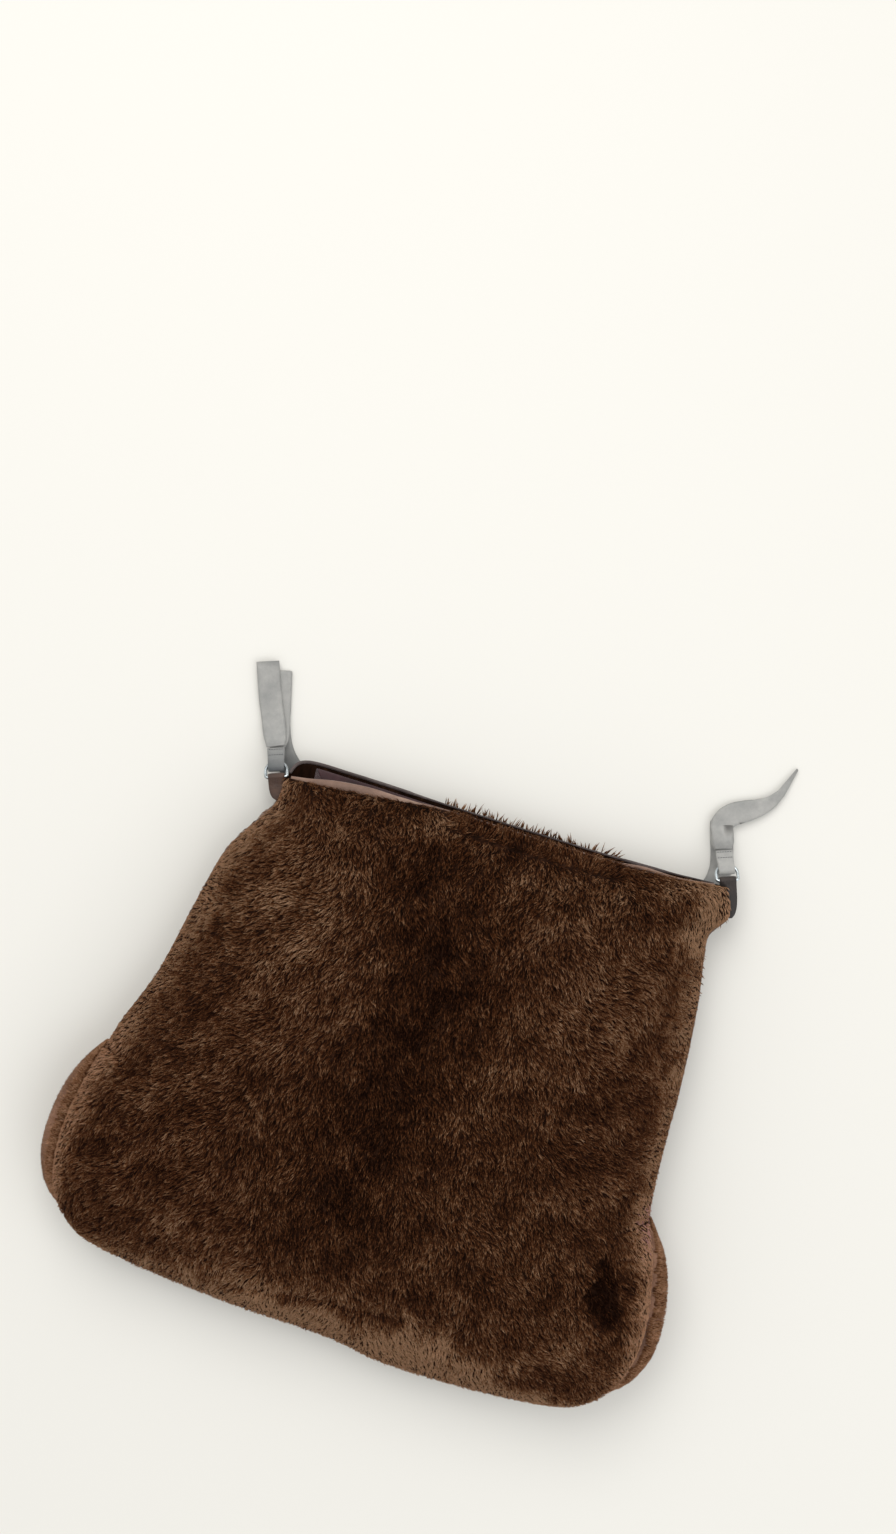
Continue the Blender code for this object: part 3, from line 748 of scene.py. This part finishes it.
def clumped(x, y):
    """The shift from each place to the middle of its tuft of hairs, and the tuft's own tone."""
    cell_x, cell_y = np.floor(x / CLUMP), np.floor(y / CLUMP)
    best, shift, own = np.full(len(x), 9.0), np.zeros((len(x), 2)), np.zeros(len(x))
    for i in (-1, 0, 1):
        for j in (-1, 0, 1):
            cx, cy = cell_x + i, cell_y + j
            jitter_x = np.modf(np.abs(np.sin(cx * 12.9898 + cy * 78.233) * 43758.5453))[0]
            jitter_y = np.modf(np.abs(np.sin(cx * 39.3467 + cy * 11.1351) * 24634.6345))[0]
            px, py = (cx + jitter_x) * CLUMP, (cy + jitter_y) * CLUMP
            away = np.hypot(px - x, py - y)
            nearer = away < best
            best = np.where(nearer, away, best)
            shift[nearer] = np.stack([px - x, py - y], axis=1)[nearer]
            own[nearer] = (jitter_x + jitter_y - 1)[nearer]
    return shift, own


def tone_of_front(u, v, x, y):
    """How light the pile is, from 0 to 1, with painted shade in the valley, the crease and the hollow, and
    painted highlights along the side and bottom edges, on the two lobes and along the bottom roll.
    """
    side = np.minimum(np.minimum(u, 1 - u), v)
    tone = 0.46 + 0.08 * waves(x, y, 0.040, 4) + 0.07 * waves(x, y, 0.013, 1)
    # painted highlight along the side and bottom edges, where the pile turns
    tone = tone + 0.44 * (1 - ease(side / 0.075))
    # painted shade down the valley in the middle
    tone = tone - 0.24 * near_line(x, y, VALLEY, 0.032)
    # painted highlights on the two raised lobes
    tone = tone + 0.14 * near_point(x, y, (0.108, 0.080), 0.045)
    tone = tone + 0.22 * near_point(x, y, (-0.090, 0.070), 0.050)
    # painted shade in the sunken hollow
    tone = tone - 0.65 * np.exp(-(from_hollow(x, y) ** 2))
    tone = tone + 0.18 * near_point(x, y, (0.147, -0.118), 0.011) * (0.8 + 0.6 * waves(x, y, 0.008, 3))
    # painted highlight along the raised bottom roll
    tone = tone + 0.50 * near_line(x, y, ROLL, 0.023) * (0.7 + 0.5 * waves(x, y, 0.03, 3))
    # painted shade in the crease above the roll
    tone = tone - 0.22 * near_line(x, y, CREASE, 0.003)
    tone = tone + 0.65 * ease((v - 0.84) / 0.08) * (1 - ease((1 - u) / 0.16))
    return tone + 0.35 * near_point(x, y, (-0.024, 0.141), 0.009)


def tint_of(u, v, x, y):
    """Which hairs take the warmer tones of the rims beside the hand openings, and which take the rose tones of
    a painted reflection of the pink lining beside the right opening.
    """
    rim = (1 - ease(np.minimum(u, 1 - u) / 0.065)) * ease(v / 0.05) * (1 - ease((v - 0.34) / 0.10))
    rim = np.maximum(rim, 0.25 * (1 - ease(np.minimum(u, 1 - u) / 0.03)))
    # painted reflection of the pink lining, a patch beside the right hand opening
    reflected_rose = 0.9 * np.exp(-((np.hypot((x - 0.172) * 1.3, y + 0.048) / 0.011) ** 2))
    pick = CHANCE.uniform(0, 1, len(x))
    return np.where(pick < reflected_rose, REFLECTED_ROSE_PILE, np.where(pick < rim, RIM_PILE, BROWN_PILE))


def hairs(name, roots, normals, heading, lengths, widths, tones, tints, floor=None):
    """Tapered curved hairs, in pieces small enough to handle."""
    order = np.argsort(roots[:, 1], kind="stable")
    shape = ((0.0, 1.0, 0.0), (0.52, 0.78, 0.10), (1.0, 0.0, 0.0))
    side = unit(np.cross(heading, normals))
    up = unit(np.cross(side, heading))
    for n, start in enumerate(range(0, len(order), HAIRS_PER_PIECE)):
        pick = order[start : start + HAIRS_PER_PIECE]
        count = len(pick)
        rings = []
        for at, wide, bulge in shape:
            centre = roots[pick] + heading[pick] * (lengths[pick] * at)[:, None]
            centre = centre + normals[pick] * (lengths[pick] * (bulge - 0.12 * at * at))[:, None]
            if wide == 0:
                rings.append(centre[:, None, :])
                continue
            half = (widths[pick] * wide)[:, None]
            corners = [side[pick] * half, up[pick] * half * 0.9, -side[pick] * half]
            rings.append(np.stack([centre + c for c in corners], axis=1))
        points = np.concatenate(rings, axis=1).reshape(-1, 3)
        if floor is not None:
            points[:, 2] = np.maximum(points[:, 2], floor)
        one = [(0, 2, 1)]
        for k in range(3):
            a, b = k, (k + 1) % 3
            one += [(a, b, b + 3), (a, b + 3, a + 3), (a + 3, b + 3, 6)]
        faces = np.array(one)[None] + (np.arange(count) * 7)[:, None, None]
        # base and root faces take darker tones and tips lighter ones: painted shade deep in the pile
        steps = np.array([-2] + [-1, -1, 1] * 3)
        level = np.clip(np.rint(tones[pick] * (TONES - 1)), 0, TONES - 1)[:, None] + steps[None]
        level = np.clip(level, 0, TONES - 1).astype(int) + tints[pick][:, None] * TONES
        obj = piece(f"{name}_{n + 1}", points, faces.reshape(-1, 3), PILE, face_looks=level.ravel())


def pile(name, surface, count, facing, tone, size, floor=None):
    """The pile over one pelt, each hair about size long and half wide."""
    u, v = scattered(surface, count)
    here, _, _, normal = slopes(surface, u, v)
    normal = normal * facing
    x, y = here[:, 0], here[:, 1]
    angle = combed(u, v, x, y) + CHANCE.normal(0, 0.16, len(u))
    flow = np.stack([np.cos(angle), np.sin(angle), np.zeros(len(u))], axis=1)
    shift, own = clumped(x, y)
    flow[:, :2] += shift / CLUMP * 0.60
    flow = unit(flow - normal * (flow * normal).sum(axis=1, keepdims=True))
    side = np.minimum(np.minimum(u, 1 - u), v)
    upright = 0.30 + 0.22 * ease(side / 0.20) + CHANCE.normal(0, 0.09, len(u))
    heading = unit(flow * np.cos(upright)[:, None] + normal * np.sin(upright)[:, None])
    shorter = 0.62 + 0.38 * ease(side / 0.05)
    lengths = size[0] * (1 + 0.22 * CHANCE.normal(size=len(u))).clip(0.5, 1.6) * shorter
    widths = size[1] * (1 + 0.3 * CHANCE.normal(size=len(u))).clip(0.5, 1.8)
    tones = tone(u, v, x, y) + 0.22 * own + CHANCE.normal(0, 0.08, len(u))
    tints = tint_of(u, v, x, y)
    hairs(name, here - normal * 0.0004, normal, heading, lengths, widths, tones, tints, floor)


def tone_of_back(u, v, x, y):
    side = np.minimum(np.minimum(u, 1 - u), np.minimum(v, 1 - v))
    # lighter towards the edges: painted highlight where the pile turns
    return 0.42 + 0.10 * waves(x, y, 0.04, 1) + 0.30 * (1 - ease(side / 0.06))


def all_pile():
    pile("pile_front", front_at, FRONT_HAIRS, 1.0, tone_of_front, (0.0046, 0.00026))
    pile("pile_back", back_at, BACK_HAIRS, -1.0, tone_of_back, (0.0066, 0.00042), floor=0.0004)


# -------------------- linings, lips and cuffs


def oval(angle, power):
    c, s = np.cos(angle), np.sin(angle)
    return np.sign(c) * np.abs(c) ** power, np.sign(s) * np.abs(s) ** power


def around_grid(sides, rows):
    return np.meshgrid(round_angles(sides), np.linspace(0, 1, rows))


def linings():
    angle, t = around_grid(160, 140)

    def hand(inset):
        along_v, up = oval(angle, 0.85)
        belly = np.sin(np.pi * t)
        fold = 0.0007 * np.sin(angle * 13 + 5 * np.sin(t * 9)) * belly
        fold = fold + 0.0004 * np.sin(t * 70 + 3 * np.cos(angle * 2))
        middle_v = OPENING_TOP / 2
        v = middle_v + along_v * (middle_v * (0.80 + 0.06 * belly) - inset * 3.0 + fold)
        u = 0.006 + 0.988 * t
        xy = plan(u, v, FRONT_TOP_EDGE)
        half = OPENING_HALF - PELT - LAYER_GAP + 0.0025 * belly - inset + fold
        return np.concatenate([xy, (SEAM_HEIGHT + up * half)[..., None]], axis=-1)

    lining = slab("hand_lining_satin", hand(0.0), hand(SATIN_THICK), SATIN, wrap=True)
    shown_as("hand_lining")

    angle, t = around_grid(180, 120)

    def pocket(inset):
        side, up = oval(angle, 0.5)
        v = POCKET_FLOOR + 0.004 + (0.992 - POCKET_FLOOR - 0.004) * t
        u = 0.5 + side * (0.36 + 0.05 * np.sin(np.pi * 0.5 * t) - inset * 2)
        xy = np.where((up > 0)[..., None], plan(u, v, FRONT_TOP_EDGE), plan(u, v, BACK_TOP_EDGE))
        mouth = mouth_half(u) - PELT - LAYER_GAP
        half = POCKET_HALF + (mouth - POCKET_HALF) * ease((t - 0.45) / 0.5)
        fold = 0.0005 * np.sin(u * 95 + 4 * t) * np.sin(np.pi * np.clip(t, 0, 1)) ** 0.5
        z = middle_height(v) + up * (half - inset) + fold * (np.abs(up) ** 2)
        z = middle_height(v) + (z - middle_height(v)) * ease(t / 0.02)  # closed at the pocket's floor
        return np.concatenate([xy, z[..., None]], axis=-1)

    lining = slab("pocket_lining_satin", pocket(0.0), pocket(SATIN_THICK), SATIN, wrap=True)
    shown_as("pocket_lining")


def lips():
    """The hide facing turned over each lip: broad where the mouth hangs open, thin elsewhere."""
    for name, surface, sign in (("front_lip_facing", front_at, -1), ("back_lip_facing", back_at, 1)):
        t = np.linspace(0, 1, 240)
        u = 0.012 + 0.960 * t
        edge = surface(u, np.ones_like(u))
        open_left = np.exp(-(np.abs((u - 0.155) / 0.115) ** 2.5))
        broad = 0.0005 + 0.0026 * open_left + 0.0007 * np.exp(-(((u - 0.81) / 0.05) ** 2))
        broad = np.maximum(broad * (1 + 0.08 * np.sin(u * 55 + 2 * np.sin(u * 21))), 0.0004)
        if sign > 0:
            broad = np.minimum(broad, 0.0010)
        shown = np.maximum(open_left, np.exp(-(((u - 0.81) / 0.05) ** 2))) if sign < 0 else 0.0
        edge[:, 1] += 0.0002 + 0.0014 * shown
        edge[:, 2] += sign * 0.0012 + 0.0010 * (shown if sign < 0 else 0) + 0.0003 * np.sin(u * 70)
        look = TAN_HIDE if sign < 0 else DARK_HIDE
        lip = tube(name, edge, broad, look, sides=14, squash=(1.0, 0.42 + 0.3 * (sign > 0)))
        shown_as("front_lip" if sign < 0 else "back_lip")


def cuffs():
    rows = np.array(((-0.14, 0.96), (0.15, 1.00), (0.48, 1.00), (0.78, 0.92), (0.97, 0.76), (0.98, 0.58)))
    for name, edge, side in (("left_cuff", LEFT_EDGE, -1), ("right_cuff", RIGHT_EDGE, 1)):
        angle, t = around_grid(220, 26)

        def rolled(inset, angle=angle, t=t, edge=edge, side=side):
            along_v, up = oval(angle, 0.80)
            profile = route_at(rows, t)
            pucker = 0.00035 * np.sin(angle * 21 + 2 * np.sin(angle * 5)) * ease(t / 0.3) * ease((1 - t) / 0.2)
            reach, height = profile[..., 0] * (1 - 0.96 * np.abs(along_v) ** 2.6), profile[..., 1]
            middle_v = OPENING_TOP / 2
            v = middle_v + along_v * (middle_v * (0.90 + 0.06 * height) - 2.6 * inset * np.abs(along_v))
            point = route_at(edge, v)
            ahead = unit(route_at(edge, v + 0.01) - route_at(edge, np.maximum(v - 0.01, 0.0)))
            outward = np.stack([ahead[..., 1], -ahead[..., 0]], axis=-1) * side
            deep = inset * ease((profile[..., 0] - 0.5) / 0.5)
            xy = point + outward * (CUFF_REACH * reach - deep)[..., None] - CENTRE
            half = np.minimum(np.abs(up) * 1.35 * OPENING_HALF, opening_half(v) + 0.0002) * height
            z = SEAM_HEIGHT + np.sign(up) * np.maximum(half - inset + pucker, 0.0)
            return np.concatenate([xy, z[..., None]], axis=-1)

        pair = (rolled(0.0), rolled(0.0018))
        cuff = slab(f"{name}_hide", *(pair if side > 0 else pair[::-1]), CUFF_HIDE, wrap=True)
        shown_as(name)

        count = CUFF_HAIRS
        at = CHANCE.uniform(0, 2 * np.pi, count)
        level = CHANCE.uniform(0.0, 0.84, count)
        here = rolled(0.0, at, level)
        out = unit(rolled(0.0, at, level + 0.02) - here)
        round_it = unit(rolled(0.0, at + 0.02, level) - here)
        normal = unit(np.cross(round_it, out))
        normal *= np.sign(((here - [0, 0, SEAM_HEIGHT]) * normal * [side, 0, 1]).sum(axis=1))[:, None]
        lean = unit(out + round_it * CHANCE.normal(0, 0.35, count)[:, None])
        rise = 0.16 + CHANCE.normal(0, 0.06, count)
        heading = unit(lean * np.cos(rise)[:, None] + normal * np.sin(rise)[:, None])
        ends = np.abs(np.cos(at)) ** 6
        lengths = 0.0046 * (1 - 0.50 * level) * (1 - 0.65 * ends) * CHANCE.uniform(0.7, 1.2, count)
        shift, own = clumped(here[:, 0] + 0.5 * here[:, 2], here[:, 1])
        tones = 0.60 + 0.08 * level + 0.20 * own + CHANCE.normal(0, 0.09, count)
        tints = np.where(CHANCE.uniform(0, 1, count) < 0.55 + 0.45 * level, RIM_PILE, BROWN_PILE)
        widths = np.full(count, 0.00024)
        hairs(f"{name}_pile", here, normal, heading, lengths, widths, tones, tints)


def lathe(name, profile, at, look):
    """A round piece turned from radius and height pairs, standing at a point."""
    sides = 48
    angles = round_angles(sides)
    rings = [np.stack([r * np.cos(angles), r * np.sin(angles), np.full(sides, z)], axis=1) for r, z in profile]
    points = np.concatenate(rings) + np.array(at)
    return piece(name, points, grid_faces(sides, len(profile), wrap=True), [look])


def press_stud():
    x, y = plan(np.array([0.50]), np.array([0.955]), FRONT_TOP_EDGE)[0]
    z = float(middle_height(np.array(0.955)))
    socket = ((0.00001, 0.0009), (0.0042, 0.0009), (0.0050, 0.0008), (0.0055, 0.0005), (0.0055, 0.0002),
              (0.0048, 0.0001), (0.0030, 0.0001), (0.0024, 0.0004), (0.00001, 0.0004))
    ball = ((0.00001, 0.0001), (0.0017, 0.0001), (0.0021, -0.0002), (0.0048, -0.0002), (0.0055, -0.0004),
            (0.0055, -0.0008), (0.0046, -0.0010), (0.00001, -0.0010))
    for name, profile, lift in (("stud_socket", socket, 0.00010), ("stud_ball", ball, -0.00010)):
        made = lathe(f"{name}_metal", profile[::-1], (x, y, z + lift), STUD_METAL)
        shown_as(name)


# -------------------- corner rings, tabs and the strap

RING_WIRE, RING_HALF, RING_SIDE = 0.0010, 0.0065, 0.0040
CORNERS = {"left": (-0.1255, 0.1515, MOUTH_HEIGHT), "right": (0.1535, 0.1740, MOUTH_HEIGHT)}
TAILS = {
    "left": (
        (-0.1323, 0.1690, 0.0106, 0, 0.80), (-0.1354, 0.1760, 0.0070), (-0.1396, 0.1850, 0.0042),
        (-0.1448, 0.1960, 0.0036), (-0.1496, 0.2080, 0.0036), (-0.1530, 0.2170, 0.0042),
    ),
    "right": (
        (0.1467, 0.1915, 0.0106, 0, 0.80), (0.1440, 0.1975, 0.0068), (0.1420, 0.2045, 0.0048),
        (0.1442, 0.2105, 0.0044, 4, 1), (0.1490, 0.2148, 0.0042, 8, 1), (0.1545, 0.2180, 0.0040, 8, 0.94),
        (0.1610, 0.2222, 0.0038, 4, 0.76), (0.1672, 0.2280, 0.0036, 0, 0.54),
        (0.1722, 0.2371, 0.0036, 0, 0.30), (0.1748, 0.2450, 0.0030, 0, 0.18),
        (0.1764, 0.2515, 0.0020, 0, 0.10),
    ),
}
RUNS = {
    "left": (
        (-0.1320, 0.1688, 0.0084, 0, 0.80), (-0.1334, 0.1750, 0.0056), (-0.1360, 0.1850, 0.0026),
        (-0.1390, 0.1960, 0.0022), (-0.1420, 0.2070, 0.0023), (-0.1434, 0.2120, 0.0024),
        (-0.1438, 0.2133, 0.0020), (-0.1439, 0.2138, 0.0014), (-0.1437, 0.2130, 0.0008),
        (-0.1433, 0.2115, 0.0006), (-0.1412, 0.2040, 0.0006), (-0.1382, 0.1930, 0.0006),
        (-0.1345, 0.1800, 0.0006), (-0.1280, 0.1670, 0.0006), (-0.1180, 0.1575, 0.0010),
        (-0.1040, 0.1510, 0.0022), (-0.0860, 0.1490, 0.0036),
    ),
    "right": (
        (0.1470, 0.1912, 0.0084, 0, 0.80), (0.1452, 0.1960, 0.0056), (0.1434, 0.2015, 0.0028),
        (0.1422, 0.2053, 0.0024), (0.1418, 0.2066, 0.0020), (0.1417, 0.2071, 0.0014),
        (0.1419, 0.2064, 0.0008), (0.1423, 0.2050, 0.0006), (0.1443, 0.1985, 0.0006),
        (0.1478, 0.1885, 0.0006), (0.1500, 0.1780, 0.0006), (0.1485, 0.1670, 0.0006),
        (0.1415, 0.1578, 0.0006), (0.1270, 0.1520, 0.0010), (0.1070, 0.1500, 0.0022),
        (0.0860, 0.1490, 0.0036),
    ),
}
STRAP_WIDTH, STRAP_THICK = 0.014, 0.0009
STRAP_END_WIDTH, TAB_WIDTH, TAB_THICK = 0.0105, 0.0100, 0.0010
TAB_TAIL = {"left": 0.014, "right": 0.023}


def from_outline(route):
    """Knots of x, y, z, roll and share of the width. One of three numbers has no roll and the full width."""
    knots = np.array([(*knot, 0, 1)[:5] for knot in route], float)
    knots[:, :2] -= CENTRE
    return knots


def length_of(line):
    return float(np.linalg.norm(np.diff(line[:, :3], axis=0), axis=1).sum())


def corner_frames(side):
    bar = Vector(CORNERS[side]) - Vector((*CENTRE, 0.0))
    straight = Matrix.Translation(bar) @ Matrix.Rotation(CORNER_TURN, 4, "Z")
    return straight, straight @ Matrix.Rotation(-DROOP, 4, "X")


def put(points, matrix):
    turn, shift = np.array(matrix.to_3x3()), np.array(matrix.translation)
    return np.asarray(points, float) @ turn.T + shift


def folded_strip(name, profile, width, thick, matrix, look, body, pinch=None):
    """A strip folded along y and z points of its middle line, with a soft edge, in a local frame."""
    line = route_at(np.array(profile, float), np.linspace(0, 1, 90))
    ahead = unit(np.gradient(line, axis=0))
    out = np.stack([-ahead[:, 1], ahead[:, 0]], axis=1)
    across = np.linspace(-1, 1, 11)
    rounding = np.sqrt(np.clip(1 - np.abs(across) ** 6, 0.12, 1))
    share = np.ones(len(line)) if pinch is None else pinch(line[:, 0])
    grids = []
    for face in (1, -1):
        offset = line[:, None, :] + face * out[:, None, :] * (thick / 2 * rounding)[None, :, None]
        x = across[None, :] * (width / 2) * share[:, None]
        grids.append(put(np.concatenate([x[..., None], offset], axis=-1), matrix))
    return slab(name, grids[0], grids[1], look, body)


def stitches(name, points, ahead, up, length, radius, look, body):
    """One small raised stitch at each point, pointing along ahead."""
    points, ahead, up = (np.atleast_2d(a) for a in (points, ahead, up))
    side = unit(np.cross(ahead, up))
    rings = ((-1.0, 0.25, -0.4), (-0.6, 0.9, 0.3), (0.0, 1.0, 0.6), (0.6, 0.9, 0.3), (1.0, 0.25, -0.4))
    angles = round_angles(6)
    parts = []
    for at, wide, lift in rings:
        centre = points + ahead * (length / 2 * at) + up * (radius * lift)
        for a in angles:
            parts.append(centre + (side * math.cos(a) + up * math.sin(a)) * radius * wide)
    count = len(points)
    cloud = np.stack(parts, axis=1).reshape(-1, 3)
    caps = [[0, 5, 4, 3], [0, 3, 2, 1], [24, 25, 26, 27], [24, 27, 28, 29]]
    faces = np.array(grid_faces(6, 5, wrap=True).tolist() + caps)[None] + (np.arange(count) * 30)[:, None, None]
    return piece(name, cloud, faces.reshape(-1, 4), [look], body)


def corner_fittings():
    for side in CORNERS:
        straight, drooping = corner_frames(side)
        body = f"{side}_ring_body"
        half_turn = np.linspace(0, np.pi, 40)
        bow = [(RING_HALF * math.cos(a), RING_SIDE + RING_HALF * math.sin(a), 0) for a in half_turn]
        corner = 0.0012
        bend = [(-RING_HALF + corner * (1 - math.cos(a)), corner * (1 - math.sin(a)), 0)
                for a in np.linspace(0, np.pi / 2, 7)]
        bar = [(x, 0.0, 0.0) for x in np.linspace(-RING_HALF + 0.002, RING_HALF - 0.002, 12)]
        far = [(-x, y, z) for x, y, z in bend[::-1]]
        wire = put(np.array(bow + bend + bar + far), drooping)
        ring = tube(f"{side}_ring_wire", wire, RING_WIRE, STEEL, body, sides=16, cyclic=True)
        shown_as(f"{side}_ring")

        hole = RING_WIRE + 0.0009
        wrap = [(hole * math.cos(a), hole * math.sin(a)) for a in np.linspace(2.2, -2.2, 13)]
        far_end = TAB_TAIL[side]
        top = [(-far_end * share, 0.0006) for share in (1.0, 0.7, 0.4)] + [(-0.004, 0.0007)]
        tab = folded_strip(
            f"{side}_tab_leather", top + wrap + [(y, -z) for y, z in top[::-1]], TAB_WIDTH, TAB_THICK, straight,
            BLACK_LEATHER if side == "right" else BROWN_LEATHER, "muff",
            pinch=lambda y, end=far_end: np.sqrt(np.clip(1 - np.clip(-y / end, 0, 1) ** 4, 0.04, 1)),
        )
        shown_as(f"{side}_tab")

        middle = RING_SIDE + RING_HALF
        near = middle - 0.0042
        back_turn = np.linspace(np.pi / 2, 3 * np.pi / 2, 11)
        turn = [(near + 0.0018 * math.cos(a), 0.0018 * math.sin(a)) for a in back_turn]
        leg = [(0.0200, 0.00052), (0.0170, 0.00052), (0.0143, 0.00060), (0.0123, 0.0013), (middle, 0.0018)]
        loop = folded_strip(
            f"{side}_strap_loop", leg + turn + [(y, -z) for y, z in leg[::-1]], STRAP_END_WIDTH, STRAP_THICK,
            drooping, RIBBON, body,
            pinch=lambda y: 0.94 + 0.06 * ease((y - 0.008) / 0.01),
        )
        shown_as(f"{side}_strap_end")
        box = [(x, y) for y in (0.0150, 0.0188) for x in np.linspace(-0.0038, 0.0038, 6)]
        seats = put(np.array([(x, y, 0.00105) for x, y in box]), drooping)
        ahead = np.broadcast_to(np.array(drooping.to_3x3() @ Vector((1, 0, 0))), seats.shape)
        up = np.broadcast_to(np.array(drooping.to_3x3() @ Vector((0, 0, 1))), seats.shape)
        sewn = stitches(f"{side}_strap_stitches", seats, ahead, up, 0.0013, 0.00018, GREY_THREAD, body)


def strap():
    for side in TAILS:
        body = f"{side}_ring_body"
        line = strap_line(from_outline(TAILS[side]))
        tail = ribbon(f"{side}_strap_free_tail", line, body)
        shown_as(f"{side}_strap_tail")
        whole = route_at(from_outline(RUNS[side]), np.linspace(0, 1, 320))
        fold = int(np.argmax(whole[:, 1]))
        out_line, back_line = whole[: fold + 1], whole[fold:]
        out = ribbon(f"{side}_strap_out", out_line, None)
        back = ribbon(f"{side}_strap_return", back_line, "muff")
        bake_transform(out)
        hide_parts(f"{side}_strap_run")
    hank()


def hank():
    """The strap's hidden middle in four layers, and the leather tie round them."""
    at = np.array((0.0, 0.1490, 0.0042)) - np.array((*CENTRE, 0.0))
    reach, pitch = 0.0820, 0.00135
    knots = []
    for layer in range(4):
        z = at[2] - 1.5 * pitch + pitch * layer
        ends = (-reach, reach) if layer % 2 == 0 else (reach, -reach)
        for s in np.linspace(0, 1, 14):
            knots.append((at[0] + ends[0] + (ends[1] - ends[0]) * s, at[1], z, 0, 1))
        if layer < 3:
            way = math.copysign(1, ends[1])
            for a in np.linspace(-np.pi / 2, np.pi / 2, 7)[1:-1]:
                knots.append((at[0] + ends[1] + way * pitch / 2 * math.cos(a), at[1],
                              z + pitch / 2 + pitch / 2 * math.sin(a), 0, 1))
    knots = np.array(knots)
    folded = ribbon("strap_hank_ribbon", knots, "muff")
    shown_as("strap_hank")
    grow = 0.0006
    y, z = 0.0145 / 2 + grow, 0.0056 / 2 + grow
    ring = [(across * y, up * z) for across, up in zip(*oval(np.linspace(0, 2 * np.pi, 60), 0.4))]
    middle = Matrix.Translation(Vector(at))
    tie = folded_strip("hank_tie_leather", ring, 0.0070, 0.0008, middle, BLACK_LEATHER, "muff")
    shown_as("hank_tie")


# -------------------- everything

stage_and_light()
settle("front", front_at)
strap()
corner_fittings()
pelts()
seam_welts()
all_pile()
linings()
lips()
cuffs()
press_stud()
